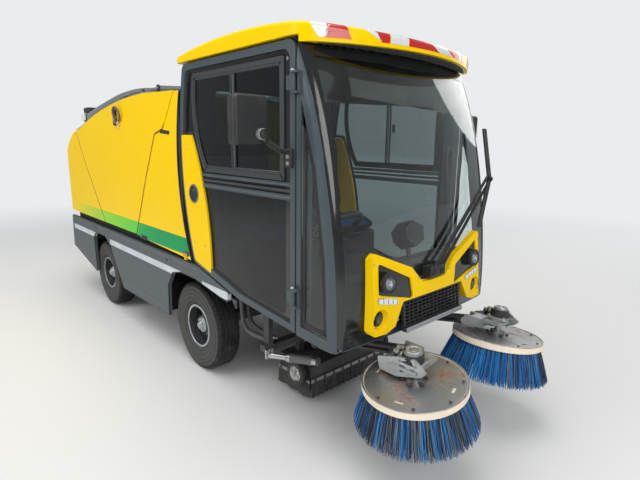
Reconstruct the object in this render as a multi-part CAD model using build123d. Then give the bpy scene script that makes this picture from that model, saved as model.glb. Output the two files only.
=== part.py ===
from build123d import *
import os
from math import atan2, cos, degrees, hypot, radians, sin

# A compact cab-forward road sweeper: hollow glazed cab, tipping hopper, two front side brushes.
# Millimetres. X forward, Y to the machine's left, Z up. While the model is made, X = 0 is the
# front axle; at the end everything moves so that the origin is on the ground below the middle.

# Running gear
wheelbase = 1692
tyre_radius = 297
tyre_width = 176
tyre_centre_y = 516
bead_radius = 140
rim_width = 124
rim_wall = 10
flange_height = 6
hub_radius = 52
hub_bore = 22
running_gap = 0.05
seat_gap = 0.3
moving_gap = 8
kingpin_y = 388
kingpin_radius = 14
kingpin_boss_radius = 30
kingpin_boss_height = 84
knuckle_plate = 18
axle_size = 66

# Chassis frame
rail_inner_y = 190
rail_width = 56
rail_bottom = 380
rail_height = 118
rail_rear_x = -2470
rail_front_x = 960
bumper_thickness = 40
tow_eye_radius = 16
tow_eye_thickness = 25
outrigger_x = 720
outrigger_size = 48
skirt_brackets = (-2440, -1080, -470)

# Cab
body_half_width = 640
cab_half_width = body_half_width + 5
cab_rear_x = 14
cab_top = 1952
cab_floor_top = 676
cab_floor_thickness = 26
side_outer = 42
side_inner = 30
panel_gap = 5
door_rear_x = 55
door_front_x = 1090
door_frame_width = 36
door_bow = 62
door_corner = 46
pillar_width = 46
post_width = 30
glass_thickness = 6
windscreen_bottom = 612
hinge_radius = 8
hinge_boss = 6
hinge_y = cab_half_width + 17
hinge_height = 70
hinge_levels = (800, 1760)
sill_z = 1262
window_sill_z = 1330

# Windscreen: height, X of its two side corners and X of its middle
screen_levels = (
    (590, 1365, 1390),
    (1000, 1345, 1384),
    (1400, 1278, 1346),
    (cab_top - 172, 1166, 1262),
    (cab_top + 23, 1072, 1190),
)
screen_corner_radius = 60

# Roof
roof_half_width = cab_half_width + 12
roof_edge_round = 20
roof_front_corner = 120
roof_rear_corner = 40
roof_edge_height = 72
roof_crown = 34
brow_tip_x = 1338
brow_side_x = 1128
brow_droop = 30
rear_window_top = cab_top - 112
quarter_window_top = cab_top - 262
lining_thickness = 26
roof_beam_height = 40
console_depth = 64

# Body behind the cab
panel_thickness = 22
hopper_rear_x = -2500
hopper_bottom = 806
hopper_wall = 22
hopper_door_thickness = 36
hopper_hinge_x = -2455
hopper_hinge_z = 786
door_hinge_x = -2482
door_hinge_y = 330
door_hinge_z = 1500
door_barrel = 60
door_rib_gap = 46
lid_rail_y = 470
lid_rail_height = 44
engine_panel_front_x = -6

# Side skirts
skirt_top = 746
skirt_thickness = 26
skirt_rear_x = -2560
skirt_bottom = 280

# Brushes
brush_x = 1598
brush_y = 382
brush_z = 490
bracket_height = 74
brush_tilt = 7.6
plate_radius = 224
plate_thickness = 6
ring_radius = 236
ring_height = 30
ring_inner_radius = 150
bristle_length = 185
bristle_bed = 13
bristle_rows = (
    # tufts, radius at the ring, radius at the tips, tuft radius at each end
    (40, 213, 275.7, 11, 15),
    (28, 177, 222, 10, 14),
)
swing_x = 945
swing_y = 300
swing_radius = 14
lift_x = 1005
lift_z = 458
head_x = 1460
head_z = 556
arm_width = 46
arm_height = 40
pivot_radius = 11
ear_thickness = 14

# Suction nozzle
nozzle_rear_x = 560
nozzle_front_x = 850
nozzle_half_width = 330
nozzle_bottom = 96
nozzle_top = 235
duct_radius = 92
duct_wall = 8
duct_cuts = (470, 235, 0, -235, -470, -720)
nozzle_wheel_radius = 74
nozzle_wheel_width = 34
nozzle_wheel_x = 775
nozzle_wheel_y = 372

parts = {}


def box(x0, x1, y0, y1, z0, z1):
    """A block between two corners."""
    size = (x1 - x0, y1 - y0, z1 - z0)
    middle = ((x0 + x1) / 2, (y0 + y1) / 2, (z0 + z1) / 2)
    return Pos(*middle) * Box(*size)


def outline_face(points, corner_radius=0):
    """A filled outline in the sketch plane, with all corners rounded alike."""
    face = make_face(Polyline(*points, close=True))
    if corner_radius:
        face = fillet(face.vertices(), corner_radius)
    return face


def side_prism(face, y0, y1):
    """A side-view face, drawn as X and Z, made solid from y0 to y1."""
    plane = Plane(origin=(0, y0, 0), x_dir=(1, 0, 0), z_dir=(0, -1, 0))
    return extrude(plane * face, -(y1 - y0))


def front_prism(face, x0, x1):
    """A front-view face, drawn as Y and Z, made solid from x0 to x1."""
    plane = Plane(origin=(x0, 0, 0), x_dir=(0, 1, 0), z_dir=(1, 0, 0))
    return extrude(plane * face, x1 - x0)


def plan_prism(face, z0, z1):
    """A plan-view face made solid from z0 to z1."""
    return extrude(Pos(0, 0, z0) * face, z1 - z0)


def rod(start, end, radius):
    """A round bar from one point to another."""
    direction = Vector(*end) - Vector(*start)
    plane = Plane(origin=start, z_dir=direction)
    return plane * Pos(0, 0, direction.length / 2) * Cylinder(radius, direction.length)


def pin_y(x, y0, y1, z, radius):
    """A round bar along Y."""
    return rod((x, y0, z), (x, y1, z), radius)


def mirrored(shape):
    """The same shape on the other side of the machine."""
    return mirror(shape, about=Plane.XZ)


def on_side(shape, side):
    """A left-hand shape, or its mirror image for the right."""
    return shape if side > 0 else mirrored(shape)


def both_sides(shape):
    """A left-hand shape and its mirror image as one piece list."""
    return Compound([*shape.solids(), *mirrored(shape).solids()])


def revolve_y(points, y_shift):
    """A turned part about the wheel axis: points are radius and distance along the axle."""
    face = make_face(Polyline(*points, close=True))
    turned = revolve(Plane.XY * face, Axis.Y)
    return Pos(0, y_shift, 0) * turned


# Wheels

def tyre(y_out):
    """A tyre with a flat tread, round shoulders and bulging walls."""
    half = tyre_width / 2
    bead = rim_width / 2
    side_radius = tyre_radius - 82
    shoulder = tyre_radius - 14
    tread = half - 20
    crown = Polyline((bead_radius, bead), (bead_radius + flange_height + 6, bead),
                     (side_radius - 46, half - 7))
    wall = ThreePointArc((side_radius - 46, half - 7), (side_radius, half), (side_radius + 40, half - 4))
    edge = ThreePointArc((side_radius + 40, half - 4), (shoulder, half - 10), (tyre_radius, tread))
    top = Line((tyre_radius, tread), (tyre_radius, -tread))
    low_edge = ThreePointArc((tyre_radius, -tread), (shoulder, 10 - half), (side_radius + 40, 4 - half))
    low_wall = ThreePointArc((side_radius + 40, 4 - half), (side_radius, -half), (side_radius - 46, 7 - half))
    low = Polyline((side_radius - 46, 7 - half), (bead_radius + flange_height + 6, -bead),
                   (bead_radius, -bead))
    bore = Line((bead_radius, -bead), (bead_radius, bead))
    face = make_face([crown, wall, edge, top, low_edge, low_wall, low, bore])
    return Pos(0, y_out, tyre_radius) * revolve(face, Axis.Y)


def rim(side_y):
    """A deep-dish disc wheel with its hub, turned about the stub axle."""
    bead = rim_width / 2 - seat_gap
    outer = bead_radius - seat_gap
    inner = outer - rim_wall
    lip = rim_width / 2 + seat_gap
    flange = bead_radius + flange_height
    barrel = revolve_y([(inner, -lip - 5), (flange, -lip - 5), (flange, -lip), (outer, -lip),
                        (outer, lip), (flange, lip), (flange, lip + 5), (inner, lip + 5)], 0)
    disc = revolve_y([(hub_bore, -14), (hub_radius, -14), (hub_radius, -4), (inner + 2, 6), (inner + 2, 14),
                      (hub_radius, 6), (hub_radius, 38), (hub_radius - 14, 50), (hub_bore, 50)], 0)
    cap = revolve_y([(0, 40), (hub_bore + 8, 40), (hub_bore + 8, 54), (hub_bore - 4, 66), (0, 66)], 0)
    holes = PolarLocations(96, 5)
    windows = [Plane.XZ * place * Pos(0, 0, -10) * Cylinder(17, 60) for place in holes]
    body = barrel + disc + cap - windows
    return Pos(0, side_y, tyre_radius) * body


def tidy(shape):
    """The solids of a result as one solid, or a piece list when there are several."""
    solids = shape.solids()
    return solids[0] if len(solids) == 1 else Compound(solids)


left_tyre = tyre(tyre_centre_y)
left_rim = rim(tyre_centre_y)
for end_name, axle_x in (("front", 0), ("rear", -wheelbase)):
    for side_name, side in (("right", -1), ("left", 1)):
        parts[f"tyre_{end_name}_{side_name}"] = Pos(axle_x, 0, 0) * on_side(left_tyre, side)
        parts[f"rim_{end_name}_{side_name}"] = Pos(axle_x, 0, 0) * on_side(left_rim, side)

# Steering knuckle: two plates over the axle's end, a stub for the wheel, an arm for the track rod

stub_end_y = tyre_centre_y + 40 - seat_gap
plate_low = tyre_radius - kingpin_boss_height / 2 - 1
plate_high = tyre_radius + kingpin_boss_height / 2 + 1
knuckle_outer_y = tyre_centre_y - 14 - moving_gap - 16


def knuckle():
    """The left front knuckle."""
    upper = Pos(0, kingpin_y, plate_high + knuckle_plate / 2) * Cylinder(kingpin_boss_radius, knuckle_plate)
    lower = Pos(0, kingpin_y, plate_low - knuckle_plate / 2) * Cylinder(kingpin_boss_radius, knuckle_plate)
    web_start = kingpin_y + kingpin_boss_radius + 4
    reach = box(-26, 26, kingpin_y, knuckle_outer_y, plate_high, plate_high + knuckle_plate)
    reach += box(-26, 26, kingpin_y, knuckle_outer_y, plate_low - knuckle_plate, plate_low)
    web = box(-26, 26, web_start, knuckle_outer_y, plate_low, plate_high)
    pin = rod((0, kingpin_y, plate_low - 2), (0, kingpin_y, plate_high + 2), kingpin_radius)
    stub = pin_y(0, knuckle_outer_y - 5, stub_end_y - seat_gap, tyre_radius, hub_bore - running_gap)
    steering_arm = box(-118, -10, kingpin_y - 16, kingpin_y + 16, plate_low - knuckle_plate, plate_low)
    return upper + lower + reach + web + pin + stub + steering_arm


left_knuckle = knuckle()
for side_name, side in (("right", -1), ("left", 1)):
    parts[f"knuckle_{side_name}"] = on_side(left_knuckle, side)

# Axles

half_axle = axle_size / 2
beam_end = kingpin_y - kingpin_boss_radius + 8
front_beam = box(-half_axle, half_axle, -beam_end, beam_end, tyre_radius - half_axle, tyre_radius + half_axle)
for side in (-1, 1):
    boss = Pos(0, side * kingpin_y, tyre_radius) * Cylinder(kingpin_boss_radius, kingpin_boss_height)
    bore = Pos(0, side * kingpin_y, tyre_radius) * Cylinder(kingpin_radius + running_gap,
                                                            kingpin_boss_height + 2)
    front_beam = front_beam + boss - bore
    perch_y = side * (rail_inner_y + rail_width / 2)
    top_of_beam = tyre_radius + half_axle
    front_beam += box(-60, 60, perch_y - 24, perch_y + 24, top_of_beam - 4, rail_bottom - seat_gap)
parts["front_axle"] = front_beam

rear_beam = pin_y(-wheelbase, -(knuckle_outer_y), knuckle_outer_y, tyre_radius, 44)
rear_beam += pin_y(-wheelbase, -stub_end_y + seat_gap, stub_end_y - seat_gap, tyre_radius,
                   hub_bore - running_gap)
for side in (-1, 1):
    perch_y = side * (rail_inner_y + rail_width / 2)
    rear_beam += box(-wheelbase - 60, -wheelbase + 60, perch_y - 24, perch_y + 24, tyre_radius + 20,
                     rail_bottom - seat_gap)
rear_beam += Pos(-wheelbase, 0, tyre_radius) * Sphere(96)
parts["rear_axle"] = rear_beam

# Chassis frame: two rails, cross members, hopper posts and hinge plates, brush pivots, bumper

rail_outer_y = rail_inner_y + rail_width
rail_top = rail_bottom + rail_height
support_x = -1180
outrigger_end = cab_half_width - 55
outrigger_foot = cab_half_width - 95
bumper_half = body_half_width - 80
cross_members = (-2438, -1960, support_x - 150)
post_top = hopper_bottom - 8


def front_end():
    """The front cross beam with the lugs and pins that the brush posts swing on."""
    beam_half = swing_y + 45
    beam = box(rail_front_x - 90, rail_front_x - 54, -beam_half, beam_half, rail_bottom, rail_top)
    for lug_y in (-swing_y, swing_y):
        for lug_z in (rail_bottom, rail_top - 14):
            beam += box(rail_front_x - 60, swing_x, lug_y - 30, lug_y + 30, lug_z, lug_z + 14)
            beam += Pos(swing_x, lug_y, lug_z + 7) * Cylinder(30, 14)
        beam += rod((swing_x, lug_y, rail_bottom), (swing_x, lug_y, rail_top), swing_radius)
    return beam


def rear_end():
    """The rear carrier with the hopper's hinge ears and pins, the bumper and the towing tongue."""
    end = box(hopper_hinge_x - 34, hopper_hinge_x + 34, -400, 400, rail_top + seat_gap, rail_top + 8)
    for side in (-1, 1):
        for ear_y in (side * 340 - 30, side * 340 + 30):
            end += box(hopper_hinge_x - 19, hopper_hinge_x + 19, ear_y - 8, ear_y + 8, rail_top + 2,
                       hopper_hinge_z)
            end += pin_y(hopper_hinge_x, ear_y - 8, ear_y + 8, hopper_hinge_z, 19)
        end += pin_y(hopper_hinge_x, side * 340 - 38, side * 340 + 38, hopper_hinge_z, pivot_radius)
    rear_x = rail_rear_x
    end += box(rear_x - bumper_thickness, rear_x, -bumper_half, bumper_half, rail_bottom + 20, rail_top + 60)
    eye_x = rear_x - bumper_thickness - 34
    eye_low = rail_bottom + 80 - tow_eye_thickness / 2
    eye_plan = Pos(eye_x, 0) * Circle(tow_eye_radius + 20)
    eye_plan += make_face(Polyline((eye_x, tow_eye_radius + 20), (rear_x - 5, 62), (rear_x - 5, -62),
                                   (eye_x, -tow_eye_radius - 20), close=True))
    end += plan_prism(eye_plan, eye_low, eye_low + tow_eye_thickness)
    end -= Pos(eye_x, 0, eye_low) * Cylinder(tow_eye_radius, 4 * tow_eye_thickness)
    return end


def side_members():
    """The left rail and what stands on it or reaches out from it, each member seated with a hairline gap."""
    start_y = rail_outer_y + seat_gap
    foot_x = outrigger_x + outrigger_size
    members = [box(rail_rear_x + seat_gap, rail_front_x - 90 - seat_gap, rail_inner_y, rail_outer_y,
                   rail_bottom,
                   rail_top)]
    members.append(box(support_x - 30, support_x + 30, rail_outer_y - 60, rail_outer_y, rail_top + seat_gap,
                       post_top))
    outrigger = box(outrigger_x, foot_x, start_y, outrigger_end, rail_bottom, rail_bottom + 36)
    outrigger += box(outrigger_x, foot_x, outrigger_foot - 15, outrigger_foot + 15, rail_bottom,
                     cab_floor_top - cab_floor_thickness - seat_gap)
    members.append(outrigger)
    for bracket_x in skirt_brackets:
        members.append(box(bracket_x - 22, bracket_x + 22, start_y,
                           body_half_width - skirt_thickness - seat_gap,
                           rail_bottom + 46, rail_bottom + 90))
    for mount_x in (130, 660):
        members.append(box(mount_x - 40, mount_x + 40, rail_outer_y - 50, rail_outer_y, rail_top + seat_gap,
                           cab_floor_top - cab_floor_thickness - seat_gap))
    return members


def chassis():
    """The frame: rails and their members, cross members between the rails, front beam and rear end."""
    members = [front_end(), rear_end()]
    for member in side_members():
        members += [member, mirrored(member)]
    cross_y = rail_inner_y - seat_gap
    for cross_x in cross_members:
        members.append(box(cross_x - 30, cross_x + 30, -cross_y, cross_y, rail_bottom + 10, rail_top - 10))
    return Compound([solid for member in members for solid in member.solids()])


parts["chassis_frame"] = chassis()

# Engine: one plain block on the rails behind the cab

engine = box(-560, -70, -rail_outer_y + 4, rail_outer_y - 4, 640, 1060)
for side in (-1, 1):
    foot_y = side * (rail_inner_y + rail_width / 2)
    engine += box(-480, -160, foot_y - 20, foot_y + 20, rail_top + seat_gap, 645)
parts["engine_block"] = engine


# Cab envelope: plan outlines at five heights, blended into one curved nose

def screen_section(z, corner_x, middle_x, inset):
    """The cab's plan outline at one height, set in from the outside all round."""
    half = cab_half_width - inset
    side_x = corner_x - inset
    rear = cab_rear_x - 400
    outline = Polyline((side_x, half), (rear, half), (rear, -half), (side_x, -half))
    nose = ThreePointArc((side_x, -half), (middle_x - inset, 0), (side_x, half))
    face = make_face([outline, nose])
    front_corners = face.vertices().sort_by(Axis.X)[-2:]
    face = fillet(front_corners, screen_corner_radius - inset / 2)
    return Pos(0, 0, z) * face


def cab_envelope(inset):
    """The whole nose as a solid, set in by an amount."""
    sections = [screen_section(z, corner_x, middle_x, inset) for z, corner_x, middle_x in screen_levels]
    return loft(sections)


envelope = cab_envelope(0)
glass_back = cab_envelope(glass_thickness)
frame_front = cab_envelope(glass_thickness + 0.5)
frame_back = cab_envelope(side_outer + 4)


def pillar_edge(offset):
    """The front pillar's leading edge in side view, moved back by an amount."""
    points = [(corner_x - offset, z) for z, corner_x, middle_x in screen_levels]
    low = ThreePointArc(points[0], points[1], points[2])
    high = ThreePointArc(points[2], points[3], points[4])
    return low, high, points[0], points[4]


def ahead_of_pillar(offset):
    """Everything ahead of the pillar's leading edge, as a solid."""
    low, high, start, end = pillar_edge(offset)
    rest = Polyline(end, (1700, end[1]), (1700, start[1]), start)
    return side_prism(make_face([low, high, rest]), -cab_half_width - 20, cab_half_width + 20)


door_bottom = ((door_rear_x + 42, 768), (606, 652), (door_front_x, 611))
front_foot = (1392, 597)


def door_outline(grow):
    """The door in side view: bowed rear edge, slanting lower edge, rounded upper corners."""
    top = cab_top - panel_gap + grow
    rear = door_rear_x - grow
    front = door_front_x + grow
    low_rear = (door_bottom[0][0] - grow, door_bottom[0][1] - grow)
    low_middle = (door_bottom[1][0], door_bottom[1][1] - grow)
    low_front = (front, door_bottom[2][1] - grow)
    bow = ThreePointArc((rear, top), (rear - door_bow, 1300), low_rear)
    bottom = Polyline(low_rear, low_middle, low_front, (front, top), (rear, top))
    face = make_face([bow, bottom])
    upper = face.vertices().sort_by(Axis.Y)[-2:]
    face = fillet(upper, door_corner)
    lower = face.vertices().filter_by(lambda v: abs(v.X - low_rear[0]) < 1 and abs(v.Y - low_rear[1]) < 1)
    return fillet(lower, door_corner)


def cab_frame():
    """The cab's welded frame: rear wall, door jambs, quarter frames, header and foot rail."""
    inner_y = cab_half_width - side_outer - side_inner
    outer_y = cab_half_width - side_outer - 0.5
    wall_bottom = cab_floor_top + seat_gap
    rear_wall = box(cab_rear_x, cab_rear_x + 36, -inner_y, inner_y, wall_bottom, cab_top)
    window = outline_face([(-430, 1260), (430, 1260), (430, rear_window_top), (-430, rear_window_top)], 60)
    rear_wall -= front_prism(window, cab_rear_x - 5, cab_rear_x + 41)
    jamb = side_prism(door_outline(-4), inner_y, outer_y)
    jamb -= side_prism(door_outline(-door_frame_width), inner_y - 5, outer_y + 5)
    post = box(door_front_x - 30, door_front_x + panel_gap + post_width, inner_y, outer_y, 640, cab_top)
    post = post & frame_front
    quarter_face = make_face(Polyline((door_front_x + panel_gap, cab_top), (door_front_x + panel_gap, 610),
                                      front_foot, (1460, 597), (1460, cab_top), close=True))
    quarter = side_prism(quarter_face, outer_y - 0.5, cab_half_width) & envelope
    quarter -= ahead_of_pillar(12)
    inside = quarter_window(0)
    quarter -= side_prism(inside, outer_y - 5, cab_half_width + 5)
    side_frame = jamb + post + quarter
    frame = rear_wall + side_frame + mirrored(side_frame)
    shell = frame_front - frame_back
    inner_half = cab_half_width - 47
    header = shell & box(900, 1500, -inner_half, inner_half, cab_top - 46, cab_top)
    foot = shell & box(900, 1500, -inner_half, inner_half, windscreen_bottom - 12, windscreen_bottom + 34)
    beam = box(door_front_x - 60, 1180, -inner_y - 10, inner_y + 10,
               cab_top - roof_beam_height, cab_top) & frame_front
    rear_beam_top = box(cab_rear_x, 80, -inner_y - 10, inner_y + 10, cab_top - roof_beam_height, cab_top)
    pillar_back = shell & side_prism(pillar_band(), -cab_half_width, cab_half_width)
    pillar_back = pillar_back & box(900, 1500, -cab_half_width, cab_half_width, windscreen_bottom - 12,
                                    cab_top)
    middle_cut = box(900, 1500, -inner_half, inner_half, windscreen_bottom + 34, cab_top - 46)
    frame += header + foot + beam + rear_beam_top + (pillar_back - middle_cut)
    door_space = side_prism(door_outline(0), outer_y, cab_half_width + 20)
    frame -= door_space + mirrored(door_space)
    hinges = hinge_brackets()
    return frame + hinges + mirrored(hinges)


def hinge_brackets():
    """Brackets and pins on the quarter post that carry the left door."""
    hinge_x = door_front_x
    reach = hinge_height / 2
    result = []
    for z in hinge_levels:
        foot = box(hinge_x + 20, hinge_x + 36, cab_half_width - 4, hinge_y - 7, z - reach - 11,
                   z + reach + 11)
        for low in (z - reach - 11, z + reach + 1):
            foot += box(hinge_x, hinge_x + 36, cab_half_width + 2, hinge_y + 12, low, low + 10)
            foot += Pos(hinge_x, hinge_y, low + 5) * Cylinder(12, 10)
        result.append(foot + rod((hinge_x, hinge_y, z - reach - 11), (hinge_x, hinge_y, z + reach + 11),
                                 hinge_radius))
    return result[0] + result[1]


def pillar_band():
    """Side-view band just behind the pillar's leading edge, for its inner half."""
    low, high, start, end = pillar_edge(12.5)
    back_low, back_high, back_start, back_end = pillar_edge(pillar_width)
    top = Line(end, back_end)
    bottom = Line(back_start, start)
    return make_face([low, high, top, back_high, back_low, bottom])


def quarter_window(inset):
    """The tapering quarter window between door post and front pillar."""
    rear = door_front_x + panel_gap + post_width + inset
    edge = [(corner_x - pillar_width - 12 - inset, z) for z, corner_x, middle_x in screen_levels]
    low_z = 652 + inset
    corner = (edge[0][0], low_z)
    return make_face(Polyline((rear, low_z + 8), corner, edge[1], edge[2],
                              (rear, quarter_window_top - 4 * inset), close=True))


parts["cab_frame"] = tidy(cab_frame())

# Cab floor pan with a raised seat box

inner_floor_y = cab_half_width - side_outer - side_inner - 1
floor_pan = box(cab_rear_x, 1330, -inner_floor_y, inner_floor_y, cab_floor_top - cab_floor_thickness,
                cab_floor_top)
floor_pan = floor_pan & cab_envelope(side_outer + 6)
seat_box = box(120, 560, -530, 530, cab_floor_top - 2, 900)
seat_box -= box(150, 530, -490, 490, cab_floor_top, 870)
parts["cab_floor"] = floor_pan + seat_box

# Glazing: windscreen, quarter panes and rear window share one node

screen = (envelope - glass_back) & ahead_of_pillar(12 - 0.5)
screen = screen & box(900, 1600, -cab_half_width, cab_half_width, windscreen_bottom, cab_top - 2)
quarter_pane = side_prism(quarter_window(1), cab_half_width - 16, cab_half_width - 10)
pane_top = rear_window_top - 0.4
rear_pane_corners = [(-429.6, 1260.4), (429.6, 1260.4), (429.6, pane_top), (-429.6, pane_top)]
rear_pane = front_prism(outline_face(rear_pane_corners, 59.6), cab_rear_x + 8, cab_rear_x + 14)
panes = [*screen.solids(), *both_sides(quarter_pane).solids(), *rear_pane.solids()]
parts["cab_glazing"] = Compound(panes)

# Doors

fill_outline = ((130, 1545), (262, 1190), (306, 760))


def fill_region(offset):
    """The lower rear corner of the door, up to the panel's curved edge, grown by an amount."""
    first, middle, last = [(x + offset, z) for x, z in fill_outline]
    top = (first[0], first[1] + offset)
    edge = ThreePointArc(top, middle, last)
    rest = Polyline(last, (last[0], 500), (-200, 500), (-200, top[1]), top)
    return make_face([edge, rest])


def door_pieces():
    """The left door: frame with its rails, lower rear panel and glass."""
    outer = cab_half_width
    inner = cab_half_width - side_outer + 2
    outline = door_outline(-panel_gap)
    inside = door_outline(-panel_gap - door_frame_width)
    narrow = door_outline(-panel_gap - 12)
    opening = inside + (narrow & fill_region(0))
    frame = side_prism(outline, inner, outer) - side_prism(opening, inner - 5, outer + 5)
    for low, high in ((sill_z - 14, sill_z + 12), (window_sill_z - 18, window_sill_z)):
        rail = side_prism(make_face(Polyline((100, low), (1090, low), (1090, high), (100, high), close=True)),
                          inner + 8, outer - 4)
        rail -= side_prism(fill_region(10), inner - 5, outer + 5)
        frame += rail
    frame = frame & side_prism(outline, inner - 1, outer + 1)
    panel = side_prism((narrow & fill_region(0)), inner + 2, outer - 1)
    panel = panel & side_prism(door_outline(-panel_gap - 12 - seat_gap), inner, outer)
    panel -= pin_y(135, outer - 14, outer + 10, 1200, 46)
    glass_face = inside - fill_region(0.6)
    glass = side_prism(glass_face, outer - 24, outer - 24 + glass_thickness)
    glass = glass - frame
    hinge_x = door_front_x
    for z in hinge_levels:
        knuckle_barrel = Pos(hinge_x, hinge_y, z) * Cylinder(hinge_radius + hinge_boss, hinge_height)
        leaf = box(hinge_x - 46, hinge_x, outer - 6, hinge_y, z - 30, z + 30)
        frame += leaf + knuckle_barrel
        frame -= Pos(hinge_x, hinge_y, z) * Cylinder(hinge_radius + running_gap, 200)
    return tidy(frame), tidy(panel), tidy(glass)


door_frame, door_panel, door_glass = door_pieces()
for side_name, side in (("right", -1), ("left", 1)):
    parts[f"door_frame_{side_name}"] = on_side(door_frame, side)
    parts[f"door_panel_{side_name}"] = on_side(door_panel, side)
    parts[f"door_glass_{side_name}"] = on_side(door_glass, side)

# Mirror on a short arm from the door's front upright, clamped at a round knob

mirror_z = 1596
mirror_x = 1050
bracket_y = cab_half_width + seat_gap
knob_y = cab_half_width + 177
mirror_in = cab_half_width + 131
mirror_out = cab_half_width + 299

mirror_arm = box(mirror_x - 20, mirror_x + 24, bracket_y, bracket_y + 13, mirror_z - 196, mirror_z - 112)
mirror_arm += rod((mirror_x + 2, bracket_y + 5, mirror_z - 130),
                  (mirror_x + 2, bracket_y + 56, mirror_z - 124), 10)
mirror_arm += Pos(mirror_x + 2, bracket_y + 56, mirror_z - 124) * Sphere(10)
mirror_arm += rod((mirror_x + 2, bracket_y + 56, mirror_z - 124), (mirror_x, knob_y, mirror_z - 54), 9)
mirror_arm += rod((mirror_x - 10, knob_y, mirror_z - 54), (mirror_x + 52, knob_y, mirror_z - 54), 21)
shell_outline = outline_face([(mirror_in, mirror_z - 62), (mirror_in + 44, mirror_z - 100),
                              (mirror_out, mirror_z - 100),
                              (mirror_out, mirror_z + 100), (mirror_in, mirror_z + 100)], 22)
mirror_head = front_prism(shell_outline, mirror_x - 26, mirror_x + 24)
mirror_head = fillet(mirror_head.faces().sort_by(Axis.X)[-1].edges(), 14)
mirror_arm += mirror_head
for side_name, side in (("right", -1), ("left", 1)):
    parts[f"mirror_{side_name}"] = on_side(mirror_arm, side)

# Roof: crowned yellow shell whose brow overhangs the windscreen

roof_bottom = cab_top + seat_gap


def roof_plan(inset):
    """The roof's plan outline with its curved brow."""
    half = roof_half_width - inset
    corner_x = brow_side_x - inset
    outline = Polyline((corner_x, half), (-4 + inset, half), (-4 + inset, -half), (corner_x, -half))
    nose = ThreePointArc((corner_x, -half), (brow_tip_x - inset, 0), (corner_x, half))
    face = make_face([outline, nose])
    face = fillet(face.vertices().sort_by(Axis.X)[-2:], roof_front_corner)
    return fillet(face.vertices().sort_by(Axis.X)[:2], roof_rear_corner)


def roof():
    """The roof shell."""
    height = roof_edge_height + roof_crown + brow_droop
    slab = plan_prism(roof_plan(0), roof_bottom - brow_droop, roof_bottom + height)
    top_profile = make_face([
        ThreePointArc((-60, roof_bottom + 26), (700, roof_bottom + roof_edge_height + 8),
                      (1420, roof_bottom + 6)),
        Polyline((1420, roof_bottom + 6), (1420, roof_bottom + 300), (-60, roof_bottom + 300),
                 (-60, roof_bottom + 26))])
    slab -= side_prism(top_profile, -cab_half_width - 160, cab_half_width + 160)
    slab = fillet(slab.faces().sort_by(Axis.Z)[-1].edges(), roof_edge_round)
    keep_low = box(-100, door_front_x + 20, -cab_half_width - 160, cab_half_width + 160,
                   roof_bottom - brow_droop - 1, roof_bottom)
    slab -= keep_low
    return slab


roof_shell = roof()
nose_room = cab_envelope(-8) & box(0, 1500, -cab_half_width - 60, cab_half_width + 60,
                                   roof_bottom - brow_droop - 2, roof_bottom)
roof_shell = roof_shell - nose_room
parts["roof_shell"] = tidy(roof_shell)

lining_top = cab_top - roof_beam_height - seat_gap
lining = cab_envelope(side_outer + 10) & box(60, 1290, -inner_floor_y + 4, inner_floor_y - 4,
                                             lining_top - lining_thickness, lining_top)
console_bottom = lining_top - lining_thickness - console_depth
console = box(760, 1120, -470, 470, console_bottom, lining_top - lining_thickness + 2)
parts["roof_lining"] = tidy(lining + console)

# Front fascia: a curved yellow panel with a notch for the wiper, lamp pockets and a grille opening

fascia_middle_x = 1440
fascia_half_width = 479
fascia_bend_radius = 9000
fascia_bottom = 620
fascia_top = 1034
fascia_lean = 5.3
fascia_bevel_y = 462
fascia_bevel_x = 1424
fascia_back_x = 1378
pod_recess = 9
lamp_barrel = 22
lamp_gap = 0.4
grille_depth = 14
grille_set_back = 10
grille_columns = 14
grille_rows = 7
grille_pitch_y = 34
grille_pitch_z = 17
grille_bar = 4


def fascia_body(recess):
    """The space between the windscreen and the fascia's leaning, slightly curved front face."""
    centre = fascia_middle_x - recess - fascia_bend_radius
    front = Pos(centre, 0, fascia_bottom - 80) * Cylinder(fascia_bend_radius, 600,
                                                          align=(Align.CENTER, Align.CENTER, Align.MIN))
    front = front.rotate(fascia_hinge, -fascia_lean)
    body = front & box(1200, 1600, -fascia_half_width, fascia_half_width, fascia_bottom, fascia_top)
    return body - windscreen_front


windscreen_front = cab_envelope(-seat_gap)
fascia_hinge = Axis((fascia_middle_x, 0, fascia_bottom + 40), (0, 1, 0))
fascia_half = ((100, 842), (186, 930), (440, 1032), (471, 1010), (479, 678), (462, 655), (385, 652),
               (320, 672),
               (258, 778))
pod_outline = ((200, 882), (425, 987), (428, 841), (180, 777))
strip_outline = ((301, 801), (434, 829), (434, 802), (301, 774))
grille_outline = ((-257.6, 779.2), (257.6, 779.2), (246, 638), (-246, 638))
headlamp = (374, 892)
headlamp_radius = 46
lens_radius = 34
fog_lamp = (416, 724)
fog_radius = 36
fog_cone_slope = 0.6
fog_depth = 40


def both_halves(points):
    """A closed front-view outline from the points of its left half, top middle to bottom middle."""
    return [*points, *[(-y, z) for y, z in reversed(points)]]


def along_x(place, radius):
    """A long round bar along X through a point of the front view."""
    y, z = place
    return Pos(1400, y, z) * Rot(0, 90, 0) * Cylinder(radius, 400)


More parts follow.
